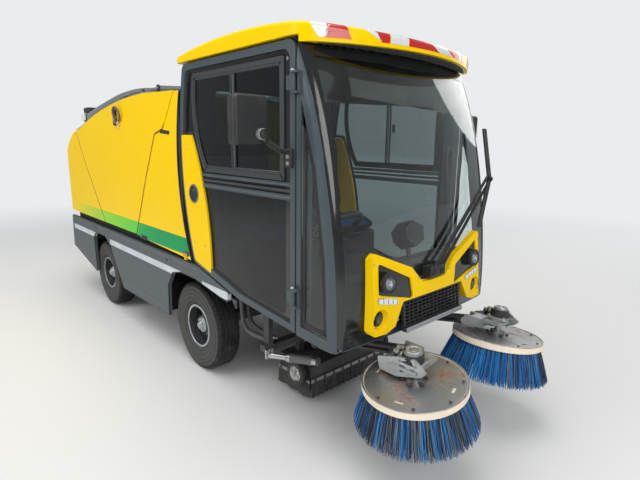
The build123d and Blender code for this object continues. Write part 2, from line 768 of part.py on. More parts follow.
def fascia():
    """The fascia panel with its notch, bevelled sides, lamp pockets and fog lamp cones."""
    panel = fascia_body(0) & front_prism(outline_face(both_halves(fascia_half), 10), 1200, 1600)
    bevel_face = make_face(Polyline((fascia_back_x, fascia_half_width + 1), (fascia_bevel_x, fascia_bevel_y),
                                    (1600, fascia_bevel_y), (1600, fascia_half_width + 60),
                                    (fascia_back_x, fascia_half_width + 60), close=True))
    bevel = plan_prism(bevel_face, fascia_bottom - 60, fascia_top + 60).rotate(fascia_hinge, -fascia_lean)
    pods = front_prism(outline_face(pod_outline, 12), 1200, 1600)
    strip = front_prism(outline_face(strip_outline, 5), 1200, 1600)
    y, z = fog_lamp
    cone_start = 1400
    cone_length = 60
    fog = along_x(fog_lamp, fog_radius + lamp_gap)
    fog += Pos(cone_start + cone_length / 2, y, z) * Rot(0, 90, 0) * Cone(
        fog_radius + lamp_gap, fog_radius + fog_cone_slope * cone_length, cone_length)
    cuts = bevel + pods + strip + fog
    panel -= cuts + mirrored(cuts)
    return panel


parts["front_fascia"] = tidy(fascia())


def lamp_units():
    """A dark pod with its lamp barrel, the light strip below it, and the fog lamp in its cone."""
    plate = fascia_body(pod_recess)
    pod = plate & front_prism(offset(outline_face(pod_outline, 12), amount=-lamp_gap), 1200, 1600)
    barrel = fascia_body(-lamp_barrel) & along_x(headlamp, headlamp_radius)
    mouth = (fascia_body(-lamp_barrel) - fascia_body(0)) & along_x(headlamp, lens_radius)
    strip = fascia_body(-2) & front_prism(offset(outline_face(strip_outline, 5), amount=-lamp_gap), 1200,
                                          1600)
    fog_disc = along_x(fog_lamp, fog_radius) & box(1300, fascia_middle_x - fog_depth, 0, 600, 600, 900)
    fog_disc -= windscreen_front
    return [*tidy(pod + barrel - mouth).solids(), *strip.solids(), *fog_disc.solids()]


left_lamps = lamp_units()
parts["front_lamps"] = Compound([*left_lamps, *[mirrored(lamp) for lamp in left_lamps]])


def grille():
    """A leaning leaf with rows of oblong openings and a proud lip along its foot."""
    front_x = fascia_middle_x - grille_set_back
    face = outline_face(grille_outline, 12)
    rows = Pos(0, 709) * GridLocations(grille_pitch_y, grille_pitch_z, grille_columns, grille_rows)
    face -= [place * Rectangle(grille_pitch_y - grille_bar, grille_pitch_z - grille_bar) for place in rows]
    leaf = front_prism(face, front_x - grille_depth, front_x)
    lip = box(front_x - grille_depth, front_x + 12, -248, 248, 624, 644)
    return (leaf + lip).rotate(fascia_hinge, -fascia_lean)


parts["grille"] = grille()

# Wiper: twin arms from the notch to the left of the machine, with a long upright blade

wiper_base = box(1360, 1436, -60, 70, 858, 912) - windscreen_front
wiper_arm = rod((1426, -30, 885), (1384, 540, 1340), 8)
wiper_arm += rod((1426, 40, 880), (1382, 555, 1300), 8)
wiper_blade = rod((1394, 458, 1050), (1386, 545, 1320), 9) + rod((1386, 545, 1320), (1306, 590, 1600), 9)
wiper_blade += Pos(1386, 545, 1320) * Sphere(12)
parts["wiper"] = tidy((wiper_base + wiper_arm + wiper_blade) - windscreen_front)

# Seats

seat_cushion = fillet(box(160, 600, 100, 530, 900 + seat_gap, 1010).edges(), 30)
seat_back = Pos(200, 315, 1290) * Rot(0, -8, 0) * fillet(Box(110, 430, 560).edges(), 40)
seat_rest = Pos(160, 315, 1620) * Rot(0, -8, 0) * fillet(Box(80, 260, 150).edges(), 34)
seat = seat_cushion + seat_back + seat_rest
parts["seats"] = both_sides(tidy(seat))

# Dashboard, steering wheel and monitor

dash_profile = outline_face([(1132, 676 + seat_gap), (1272, 676 + seat_gap), (1272, 872), (1240, 902),
                             (1132, 884)])
dash = side_prism(dash_profile, -520, 520)
column_profile = outline_face([(1046, 676 + seat_gap), (1160, 676 + seat_gap), (1160, 945), (1112, 960),
                               (1046, 900)])
dash += side_prism(column_profile, -390, -210)
monitor_face = outline_face([(-86, -26), (-86, 34), (-8, 78), (84, 34), (64, -44), (-30, -76)], 10)
monitor_plane = Plane(origin=(1122, 170, 1000), x_dir=(0, 1, 0),
                      z_dir=(cos(radians(20)), 0, sin(radians(20))))
monitor = extrude(monitor_plane * monitor_face, 52, both=True)
monitor = monitor & box(1000, 1240, 60, 280, 880, 1120)
dash += rod((1170, 120, 880), (1124, 160, 960), 14) + monitor
parts["dashboard"] = tidy(dash)

wheel_plane = Plane(origin=(960, -300, 1060), z_dir=(-sin(radians(35)), 0, cos(radians(35))))
steering = wheel_plane * Torus(175, 15)
steering += wheel_plane * Cylinder(42, 36)
for angle in (90, 210, 330):
    steering += wheel_plane * Rot(0, 0, angle) * Pos(95, 0, 0) * Box(160, 30, 12)
steering += rod(wheel_plane.origin, (1080, -300, 890), 26)
parts["steering_wheel"] = tidy(steering - parts["dashboard"])


# Side skirts

def skirt():
    """The left skirt with its two wheel arches and the tapering tail below the door."""
    arch_top = tyre_radius + 362
    rear_arch_rear = -wheelbase - 190
    rear_arch_front = -wheelbase + 500
    outer_line = [(skirt_rear_x + 30, skirt_top), (skirt_rear_x, 425), (rear_arch_rear, skirt_bottom)]
    rear_arch = [(rear_arch_rear, 620), (rear_arch_rear + 70, arch_top + 14),
                 (-wheelbase + 120, arch_top + 14),
                 (-wheelbase + 260, 600), (rear_arch_front, skirt_bottom)]
    front_arch = [(-326, skirt_bottom + 8), (-312, 520), (-230, 632), (-110, arch_top), (90, arch_top),
                  (470, 606)]
    tail = [(478, 668), (door_bottom[0][0] + 40, skirt_top)]
    points = [*outer_line, *rear_arch, *front_arch, *tail]
    face = make_face(Polyline(*points, close=True))
    return side_prism(face, body_half_width - skirt_thickness, body_half_width)


left_skirt = skirt()
parts["side_skirts"] = both_sides(left_skirt)

# Engine cover: fixed side panels behind the cab and a deck between them

body_joint = 9
front_joint = ((-818, 806), (-585, 1234), (-387, 1552), (-264, 1582), (-84, 1810))
rear_joint = ((-2137, 1577), (-1880, 1237), (-1508, 806))


def engine_panel():
    """The left engine side panel, from the sloping hopper joint to the door's bowed edge."""
    joint = [(x + body_joint, z - body_joint / 2) for x, z in front_joint]
    front_top = (engine_panel_front_x, joint[-1][1])
    low_front = (door_bottom[0][0] - 42, 770)
    bow = ThreePointArc(front_top, (engine_panel_front_x - door_bow, 1300), low_front)
    rest = Polyline(low_front, (-620, 792), *joint, front_top)
    face = make_face([bow, rest])
    return side_prism(face, body_half_width - panel_thickness, body_half_width)


left_engine_panel = engine_panel()
bulkhead = box(-52, -30, -body_half_width + 5, body_half_width - 5, skirt_top + 8, 1790)
legs = box(-60, -30, rail_inner_y + 4, rail_outer_y - 4, rail_top + seat_gap, skirt_top + 12)
engine_cover = left_engine_panel + mirrored(left_engine_panel) + bulkhead + legs + mirrored(legs)
parts["engine_cover"] = tidy(engine_cover)


# Hopper: a hollow tub with a slanting front wall, yellow side cladding and a rear door

def hopper_profile(inset):
    """The tub in side view, set in from its outside."""
    low = hopper_bottom + 8 + inset
    front_low = (-800 - inset * 1.2, low)
    front_mid = (-372 - inset * 1.2, 1546 - inset * 0.4)
    front_top = (-84 - inset * 1.2, 1790 - inset)
    top = [(-531, 1840 - inset), (-1088, 1812 - inset), (-1635, 1730 - inset), (-2300, 1580 - inset)]
    rear_x = hopper_rear_x + hopper_door_thickness + seat_gap
    rear = [(rear_x, 1500 - inset), (rear_x, low)]
    points = [front_low, front_mid, (-262 - inset * 1.2, 1580 - inset * 0.4), front_top, *top, *rear]
    return make_face(Polyline(*points, close=True))


def hopper_tub():
    """The steel tub, open at the rear, with hinge lugs and a suction port in its floor."""
    half = body_half_width - panel_thickness - 8
    tub = side_prism(hopper_profile(0), -half, half)
    inside_half = half - hopper_wall
    inside = side_prism(hopper_profile(hopper_wall), -inside_half, inside_half)
    rear_open = box(hopper_rear_x, hopper_rear_x + 120, -inside_half, inside_half,
                    hopper_bottom + 8 + hopper_wall,
                    1500 - hopper_wall)
    tub = tub - inside - rear_open
    roof_line = [(-2280, 1590), (-1635, 1730), (-1088, 1812), (-531, 1840), (-120, 1802)]
    rail_face = make_face(Polyline(*[(x, z - 20) for x, z in roof_line],
                                   *[(x, z + lid_rail_height) for x, z in reversed(roof_line)], close=True))
    rail = side_prism(rail_face, lid_rail_y, lid_rail_y + 40)
    lid_face = make_face(Polyline(*[(x, z - 20) for x, z in roof_line[1:4]],
                                  *[(x, z + 26) for x, z in reversed(roof_line[1:4])], close=True))
    tub += rail + mirrored(rail) + side_prism(lid_face, -360, 360)
    for side in (-1, 1):
        for edge in (-1, 1):
            lug_y = side * door_hinge_y + edge * (door_barrel / 2 + 1 + 7)
            lug = box(door_hinge_x, door_hinge_x + 60, lug_y - 7, lug_y + 7, door_hinge_z - 12,
                      door_hinge_z + 12)
            tub += lug + pin_y(door_hinge_x, lug_y - 7, lug_y + 7, door_hinge_z, 14)
        tub += pin_y(door_hinge_x, side * door_hinge_y - door_barrel / 2 - 12,
                     side * door_hinge_y + door_barrel / 2 + 12, door_hinge_z, hinge_radius)
    tub -= Pos(-1010, 0, hopper_bottom) * Cylinder(duct_radius, 120)
    for side in (-1, 1):
        lug = box(hopper_hinge_x - 24, hopper_hinge_x + 60, side * 340 - 16, side * 340 + 16,
                  hopper_hinge_z - 22,
                  hopper_bottom + 12)
        lug += pin_y(hopper_hinge_x, side * 340 - 16, side * 340 + 16, hopper_hinge_z, 22)
        tub += lug
        tub -= pin_y(hopper_hinge_x, side * 340 - 40, side * 340 + 40, hopper_hinge_z,
                     pivot_radius + running_gap)
    return tub


parts["hopper_tub"] = tidy(hopper_tub())


def hopper_cladding():
    """The rear and middle side panels of the left side."""
    joint = 3
    rear_x = hopper_rear_x + 2
    rear_points = [(rear_x, hopper_bottom), (rear_x + 8, 1400), (-2403, 1476), (-2276, 1550), (-2149, 1592),
                   *rear_joint]
    middle_points = [(x + joint, z) for x, z in reversed(rear_joint)]
    inner = body_half_width - panel_thickness
    rear_panel = side_prism(make_face(Polyline(*rear_points, close=True)), inner, body_half_width)
    crown = ThreePointArc(middle_points[2], (-1300, 1760), (-531, 1823))
    edge = Polyline((-531, 1823), *reversed(front_joint), *middle_points[:3])
    middle_panel = side_prism(make_face([crown, edge]), inner, body_half_width)
    stand_off = box(-2300, -900, inner - 8 + seat_gap, inner + 2, 1000, 1040)
    cladding = [rear_panel + (stand_off & box(-2300, -1800, 0, 700, 900, 1100)),
                middle_panel + (stand_off & box(-1600, -900, 0, 700, 900, 1100))]
    return Compound([solid for panel in cladding for solid in panel.solids()])


left_cladding = hopper_cladding()
parts["hopper_panels"] = both_sides(left_cladding)

door_half = body_half_width - panel_thickness - 12
hopper_door = box(hopper_rear_x, hopper_rear_x + hopper_door_thickness, -door_half, door_half,
                  hopper_bottom + 14, 1480)
field_half = door_half / 4 - door_rib_gap / 2
for column in (-1.5, -0.5, 0.5, 1.5):
    middle_y = column * door_half / 2 * 0.94
    sunk = front_prism(outline_face([(middle_y - field_half, hopper_bottom + 70), (middle_y + field_half,
                                                                                   hopper_bottom + 70),
                                     (middle_y + field_half, 1400), (middle_y - field_half, 1400)], 30),
                       hopper_rear_x - 1, hopper_rear_x + 12)
    hopper_door -= sunk
for side in (-1, 1):
    leaf_y = side * door_hinge_y
    reach = door_barrel / 2
    hopper_door += box(door_hinge_x - 14, door_hinge_x + 14, leaf_y - reach, leaf_y + reach, 1475,
                       door_hinge_z)
    hopper_door += pin_y(door_hinge_x, leaf_y - reach, leaf_y + reach, door_hinge_z, 14)
    hopper_door -= pin_y(door_hinge_x, leaf_y - reach - 5, leaf_y + reach + 5, door_hinge_z,
                         hinge_radius + running_gap)
parts["hopper_door"] = hopper_door

# Suction nozzle with its duct up to the hopper floor

nozzle = box(nozzle_rear_x, nozzle_front_x, -nozzle_half_width, nozzle_half_width, nozzle_bottom, nozzle_top)
nozzle -= box(nozzle_rear_x + 20, nozzle_front_x - 20, -nozzle_half_width + 20, nozzle_half_width - 20,
              nozzle_bottom - 1, nozzle_top - 16)
duct_foot = (748, 0, nozzle_top - 65)
duct_knee = (520, 0, 440)
duct_path = FilletPolyline(duct_foot, duct_knee, (-560, 0, 440), (-1010, 0, 560),
                           (-1010, 0, hopper_bottom + 4),
                           radius=[160, 200, 150])
duct_start = Plane(origin=duct_foot, z_dir=Vector(*duct_knee) - Vector(*duct_foot))
duct_outer = sweep(duct_start * Circle(duct_radius), path=duct_path)
duct_inner = sweep(duct_start * Circle(duct_radius - duct_wall), path=duct_path)
duct_outer -= box(nozzle_rear_x - 200, nozzle_front_x + 200, -300, 300, 0, nozzle_top - 8)
hangers = box(600, 640, rail_inner_y + 8, rail_outer_y - 8, nozzle_top - 4, rail_bottom - seat_gap)
axle_stub = pin_y(nozzle_wheel_x, nozzle_half_width - 4, nozzle_wheel_y + 22, nozzle_wheel_radius + 112, 8)
mouth = nozzle + hangers + mirrored(hangers) + axle_stub + mirrored(axle_stub)
duct_tube = duct_outer - duct_inner
neck = box(duct_cuts[0] + seat_gap, nozzle_front_x, -duct_radius - 5, duct_radius + 5, 0, 600)
mouth += duct_tube & neck
lengths = [mouth - duct_inner]
for front_x, rear_x in zip(duct_cuts, duct_cuts[1:]):
    lengths.append(duct_tube & box(rear_x + seat_gap, front_x, -duct_radius - 5, duct_radius + 5, 0, 700))
lengths.append(duct_tube & box(-1200, duct_cuts[-1], -duct_radius - 5, duct_radius + 5, 0, 900))
parts["suction_nozzle"] = Compound([solid for length in lengths for solid in length.solids()])

caster = revolve_y([(8 + running_gap, -nozzle_wheel_width / 2),
                    (nozzle_wheel_radius - 4, -nozzle_wheel_width / 2),
                    (nozzle_wheel_radius, -nozzle_wheel_width / 2 + 5),
                    (nozzle_wheel_radius, nozzle_wheel_width / 2 - 5),
                    (nozzle_wheel_radius - 4, nozzle_wheel_width / 2),
                    (8 + running_gap, nozzle_wheel_width / 2)],
                   nozzle_wheel_y)
caster = Pos(nozzle_wheel_x, 0, nozzle_wheel_radius + 112) * caster
for side_name, side in (("right", -1), ("left", 1)):
    parts[f"nozzle_wheel_{side_name}"] = on_side(caster, side)

# Brushes: swing post, lift arm, motor head and rotor, made on the left and mirrored


def swing_post():
    """The block that swings about the frame's upright pin and carries the lift pivot."""
    low = rail_bottom + 16
    high = rail_top - 16
    block = Pos(swing_x, swing_y, (low + high) / 2) * Cylinder(28, high - low)
    block += box(swing_x, lift_x, swing_y - 26, swing_y + 26, low, high)
    ear_y = arm_width / 2 + 1
    for edge in (-1, 1):
        ear_low = swing_y + edge * (ear_y + ear_thickness / 2) - ear_thickness / 2
        ear = box(swing_x + 10, lift_x, ear_low, ear_low + ear_thickness, lift_z - 24, lift_z + 24)
        ear += pin_y(lift_x, ear_low, ear_low + ear_thickness, lift_z, 24)
        block += ear
    block -= box(lift_x - 34, lift_x + 40, swing_y - ear_y, swing_y + ear_y, low - 5, high + 5)
    block += pin_y(lift_x, swing_y - ear_y - ear_thickness, swing_y + ear_y + ear_thickness, lift_z,
                   pivot_radius)
    block -= rod((swing_x, swing_y, low - 5), (swing_x, swing_y, high + 5), swing_radius + running_gap)
    return block


def lift_arm():
    """The arm between the lift pivot and the motor head."""
    half = arm_width / 2
    rise = head_z - lift_z
    run = head_x - lift_x
    tilt = degrees(atan2(rise, run))
    length = hypot(rise, run)
    bar = Pos(length / 2, 0, 0) * Box(length, arm_width, arm_height)
    bar = bar - Pos(length / 2, 0, 0) * Box(length - 120, arm_width + 4, arm_height - 26)
    bar += Pos(length / 2, 0, 0) * Box(length - 110, 12, arm_height - 20)
    bar = Pos(lift_x, swing_y, lift_z) * Rot(0, -tilt, 0) * bar
    bar += pin_y(lift_x, swing_y - half, swing_y + half, lift_z, arm_height / 2)
    bar += pin_y(head_x, swing_y - half, swing_y + half, head_z, arm_height / 2)
    for x, z in ((lift_x, lift_z), (head_x, head_z)):
        bar -= pin_y(x, swing_y - half - 5, swing_y + half + 5, z, pivot_radius + running_gap)
    return bar


tilt_place = Pos(brush_x, brush_y, brush_z) * Rot(-brush_tilt, 0, 0)
shaft_radius = 16
cheek_y = 428
cheek_thickness = 12
slot_length = 44
slot_width = 13
slot_radius = 175


def brush_head():
    """The cast bracket with its windowed cheek and its motor, hung on the arm's end."""
    upright = (Align.CENTER, Align.CENTER, Align.MIN)
    plate = tilt_place * Pos(-20, -22, bracket_height) * Box(140, 166, 14)
    flange = tilt_place * Pos(0, 0, bracket_height) * Cylinder(50, 14, align=upright)
    motor = tilt_place * Pos(0, 0, bracket_height + 12) * Cylinder(42, 50, align=upright)
    motor += tilt_place * Pos(0, 0, bracket_height + 62) * Cylinder(35, 14, align=upright)
    motor -= tilt_place * Pos(0, 0, bracket_height + 68) * Cylinder(20, 20, align=upright)
    shaft = tilt_place * Pos(0, 0, -4) * Cylinder(shaft_radius - running_gap, bracket_height, align=upright)
    cheek_face = outline_face([(1430, 561), (1444, 504), (1540, 503), (1667, 546), (1691, 570), (1627, 615),
                               (1545, 598)], 5)
    cheek_face -= outline_face([(1552, 582), (1616, 602), (1636, 562), (1556, 530)], 7)
    cheek = side_prism(cheek_face, cheek_y, cheek_y + cheek_thickness)
    ear_y = arm_width / 2 + 1
    ear_out = swing_y + ear_y + ear_thickness
    toe = side_prism(outline_face([(1440, 554), (1452, 512), (1530, 512), (1530, 554)], 5), ear_out - 2,
                     cheek_y + 2)
    head = plate + flange + motor + shaft + cheek + toe
    for edge in (-1, 1):
        ear_low = swing_y + edge * (ear_y + ear_thickness / 2) - ear_thickness / 2
        ear = box(head_x, head_x + 90, ear_low, ear_low + ear_thickness, head_z - 14, head_z + 38)
        ear += pin_y(head_x, ear_low, ear_low + ear_thickness, head_z, 20)
        head += ear
    head += box(head_x + 36, head_x + 100, swing_y - ear_y - ear_thickness, ear_out, head_z - 14, head_z + 38)
    head += pin_y(head_x, swing_y - ear_y - ear_thickness, ear_out, head_z, pivot_radius)
    return head


def brush_plate():
    """The pressed disc with its hub and four curved-end slots."""
    disc = Pos(0, 0, -plate_thickness / 2) * Cylinder(plate_radius, plate_thickness)
    hub = Cylinder(38, 20, align=(Align.CENTER, Align.CENTER, Align.MIN))
    disc = disc + hub - Cylinder(shaft_radius, 80)
    slots = [place * Rot(0, 0, 90) * Pos(0, 0, -20) * extrude(SlotOverall(slot_length, slot_width), 40)
             for place in PolarLocations(slot_radius, 4, start_angle=75)]
    return tilt_place * (disc - slots)


def brush_ring():
    """The ring that holds the bristles, with a raised rim round the disc."""
    lip = plate_radius + 0.5
    low = -ring_height
    face = make_face(Polyline((ring_inner_radius, low), (ring_radius - 3, low), (ring_radius, low + 3),
                              (ring_radius, -1), (ring_radius - 3, 2), (lip, 2),
                              (lip, -plate_thickness - seat_gap), (ring_inner_radius,
                                                                   -plate_thickness - seat_gap),
                              close=True))
    return tilt_place * revolve(Plane.XZ * face, Axis.Z)


def bristles():
    """Rings of flared tufts, all rooted in one thin band below the ring."""
    top = -ring_height - seat_gap
    face = make_face(Polyline((ring_inner_radius + 4, top), (ring_radius - 8, top),
                              (ring_radius - 8, top - bristle_bed),
                              (ring_inner_radius + 4, top - bristle_bed), close=True))
    bundle = revolve(Plane.XZ * face, Axis.Z)
    tufts = []
    for count, root_radius, tip_radius, root_size, tip_size in bristle_rows:
        lean = degrees(atan2(tip_radius - root_radius, bristle_length))
        tuft = Cone(root_size, tip_size, bristle_length - 8, align=(Align.CENTER, Align.CENTER, Align.MIN))
        tufts += [place * Pos(0, 0, top - bristle_bed / 2) * Rot(0, 180 - lean, 0) * tuft
                  for place in PolarLocations(root_radius, count)]
    return tilt_place * (bundle + tufts)


brush_nodes = (
    ("brush_post", swing_post()),
    ("brush_arm", lift_arm()),
    ("brush_head", brush_head()),
    ("brush_plate", brush_plate()),
    ("brush_ring", brush_ring()),
    ("bristles", bristles()),
)
for node, shape in brush_nodes:
    for side_name, side in (("right", -1), ("left", 1)):
        parts[f"{node}_{side_name}"] = on_side(tidy(shape), side)

# Brush struts: a silver rod in a grey barrel on each side, below the door

strut_start = (776, outrigger_end - 18, 366)
strut_end = (1015, 432, 372)
strut_middle = (875, 515.3, 368)
strut = rod(strut_start, strut_middle, 15) + rod(strut_middle, strut_end, 22)
strut += box(outrigger_x + outrigger_size + seat_gap, outrigger_x + outrigger_size + 10, outrigger_end - 45,
             outrigger_end + 2,
             346, 400)
parts["brush_struts"] = both_sides(tidy(strut))

# Hydraulic hoses looping from the cab floor down to the outrigger behind each front wheel

hose_radius = 15


def hose(y_shift, drop):
    """One hose from the floor pan to the outrigger's face."""
    top = cab_floor_top - cab_floor_thickness - seat_gap
    hose_y = 456 + y_shift
    route = [(404, hose_y, top), (404, hose_y, 520), (440, hose_y + 10, 430 - drop),
             (540, hose_y + 6, 398 - drop / 2),
             (640, hose_y, 398), (outrigger_x - seat_gap, hose_y, 398)]
    runs = [(Vector(*end) - Vector(*start)) for start, end in zip(route, route[1:])]
    radii = []
    for before, after in zip(runs, runs[1:]):
        turn = radians(before.get_angle(after))
        radii.append(0.45 * min(before.length, after.length) / max(0.05, sin(turn / 2) / cos(turn / 2)))
    print("hose radii", [round(radius) for radius in radii])
    path = FilletPolyline(*route, radius=radii)
    return sweep(Plane(origin=route[0], z_dir=runs[0]) * Circle(hose_radius), path=path)


hoses = hose(0, 0) + hose(44, 24)
parts["hoses"] = both_sides(hoses)

# Rear lamps on the bumper

lamp_block = box(rail_rear_x - bumper_thickness - 28, rail_rear_x - bumper_thickness - seat_gap, 400, 540,
                 rail_bottom + 40, rail_bottom + 130)
parts["rear_lamps"] = both_sides(lamp_block)

# Everything moves so that the origin is below the middle of the machine, and each node is written

whole = Compound([solid for shape in parts.values() for solid in shape.solids()])
extent = whole.bounding_box()
middle_x = (extent.min.X + extent.max.X) / 2
print("middle x", round(middle_x, 3), "length", round(extent.size.X, 1), "width", round(extent.size.Y, 1),
      "height", round(extent.size.Z, 1), "low", round(extent.min.Z, 2))
os.makedirs("parts", exist_ok=True)
for node, shape in parts.items():
    export_step(Pos(-middle_x, 0, 0) * shape, os.path.join("parts", f"{node}.step"))
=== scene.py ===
"""Looks of the compact road sweeper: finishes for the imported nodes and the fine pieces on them.

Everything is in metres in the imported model's frame: X to the nose, Y to the machine's left, Z up.
"""

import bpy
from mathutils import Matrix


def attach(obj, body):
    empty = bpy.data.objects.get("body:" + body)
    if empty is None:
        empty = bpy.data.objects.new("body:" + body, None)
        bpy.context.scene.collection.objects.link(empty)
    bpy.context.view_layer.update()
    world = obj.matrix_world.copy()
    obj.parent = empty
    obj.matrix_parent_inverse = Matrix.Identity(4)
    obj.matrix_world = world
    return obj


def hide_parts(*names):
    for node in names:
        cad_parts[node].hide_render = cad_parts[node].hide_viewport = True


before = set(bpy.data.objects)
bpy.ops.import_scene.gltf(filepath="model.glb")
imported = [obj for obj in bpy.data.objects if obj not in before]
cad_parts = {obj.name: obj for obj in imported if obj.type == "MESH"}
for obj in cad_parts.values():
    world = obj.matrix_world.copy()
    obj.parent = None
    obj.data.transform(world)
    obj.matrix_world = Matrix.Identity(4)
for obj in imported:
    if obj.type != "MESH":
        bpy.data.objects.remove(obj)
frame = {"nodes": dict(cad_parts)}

import fnmatch
import logging
import math
from dataclasses import dataclass
from enum import Enum
from functools import cache, reduce

import bmesh
import bpy
import numpy as np
from mathutils import Matrix, Vector
from mathutils.bvhtree import BVHTree

logging.basicConfig(level=logging.INFO, format="%(name)s: %(message)s")
log = logging.getLogger("sweeper")

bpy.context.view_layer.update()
AXLE_X = 0.349
REAR_AXLE_X = AXLE_X - 1.692
BROW_X = AXLE_X + 0.205
RNG = np.random.default_rng(7)
Triple = tuple[float, float, float]
Colour = Triple
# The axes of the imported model: to the nose, to the left, up
X, Y, Z = (1, 0, 0), (0, 1, 0), (0, 0, 1)


class Side(Enum):
    """The two sides of the machine, with the sign of Y."""

    LEFT = 1
    RIGHT = -1

    @property
    def word(self) -> str:
        """The side's name as the nodes use it."""
        return self.name.lower()


# Shader nodes


class Tree:
    """A short way to write a node tree: each call adds a node and gives its output socket."""

    def __init__(self, tree: bpy.types.NodeTree) -> None:
        """Keeps the tree and clears it."""
        self.tree = tree
        tree.nodes.clear()

    def feed(self, node: bpy.types.Node, inputs: dict) -> None:
        """Links sockets to a node's inputs or sets their values, by name or number."""
        for key, value in inputs.items():
            if isinstance(value, bpy.types.NodeSocket):
                self.tree.links.new(value, node.inputs[key])
            else:
                node.inputs[key].default_value = value

    def add(self, kind: str, inputs: dict | None = None, **settings) -> bpy.types.Node:
        """Adds a node.

        Args:
            kind: Blender's node type.
            inputs: values or sockets by input name or number.
            settings: attributes of the node.

        Returns:
            The node.
        """
        node = self.tree.nodes.new(kind)
        for name, value in settings.items():
            setattr(node, name, value)
        self.feed(node, inputs or {})
        return node

    def maths(self, operation: str, first, second=0.0, third=0.0, clamp: bool = False):
        """A Math node's result for up to three values or sockets."""
        return self.add("ShaderNodeMath", {0: first, 1: second, 2: third}, operation=operation,
                        use_clamp=clamp).outputs[0]

    def times(self, first, second, clamp: bool = False):
        """A product."""
        return self.maths("MULTIPLY", first, second, clamp=clamp)

    def between(self, value, low: float, high: float):
        """1 where a value lies between two limits, and 0 elsewhere."""
        return self.times(self.maths("GREATER_THAN", value, low), self.maths("LESS_THAN", value, high))

    def mix(self, factor, first, second):
        """A colour mix of two colours or sockets."""
        first, second = (value if isinstance(value, bpy.types.NodeSocket) else (*value[:3], 1.0)
                         for value in (first, second))
        return self.add("ShaderNodeMix", {0: factor, 6: first, 7: second}, data_type="RGBA").outputs[2]

    def noise(self, vector, scale, detail: float = 3.0, rough: float = 0.55):
        """A noise value at a place."""
        return self.add("ShaderNodeTexNoise", {"Vector": vector, "Scale": scale, "Detail": detail,
                                               "Roughness": rough}).outputs["Fac"]

    def ramp(self, value, low: float, high: float, start: float = 0.0, end: float = 1.0):
        """A value stretched smoothly between two limits."""
        return self.add("ShaderNodeMapRange", {"Value": value, "From Min": low, "From Max": high,
                                               "To Min": start,
                                               "To Max": end},
                        interpolation_type="SMOOTHSTEP").outputs["Result"]

    def place(self, scale: Triple = (1, 1, 1), turn: Triple = (0, 0, 0)):
        """Object coordinates, stretched and turned."""
        coordinates = self.add("ShaderNodeTexCoord").outputs["Object"]
        return self.add("ShaderNodeMapping", {"Vector": coordinates, "Scale": scale,
                                              "Rotation": turn}).outputs[0]

    def axes(self):
        """Object coordinates as three values."""
        return self.add("ShaderNodeSeparateXYZ", {0: self.place()}).outputs


def new_group(name: str, inputs: dict, outputs: dict, kind: str = "ShaderNodeTree") -> tuple:
    """An empty node group.

    A socket's type follows from its default: a colour, a number, or None for geometry.

    Args:
        name: the group's name.
        inputs: default of each input by name.
        outputs: a value of each output's type by name.
        kind: the type of the group's tree.

    Returns:
        The group, its tree helper, its input node's sockets and its output node.
    """
    kinds = {tuple: "NodeSocketColor", float: "NodeSocketFloat", type(None): "NodeSocketGeometry"}
    group = bpy.data.node_groups.new(name, kind)
    for direction, sockets in (("INPUT", inputs), ("OUTPUT", outputs)):
        for label, default in sockets.items():
            socket = group.interface.new_socket(label, in_out=direction, socket_type=kinds[type(default)])
            if default is not None and direction == "INPUT":
                socket.default_value = default
    tree = Tree(group)
    return group, tree, tree.add("NodeGroupInput").outputs, tree.add("NodeGroupOutput")


def new_material(name: str) -> tuple[bpy.types.Material, Tree]:
    """A new material and its cleared node tree."""
    material = bpy.data.materials.new(name)
    material.use_nodes = True
    return material, Tree(material.node_tree)


GREY = (0.5, 0.5, 0.5, 1)


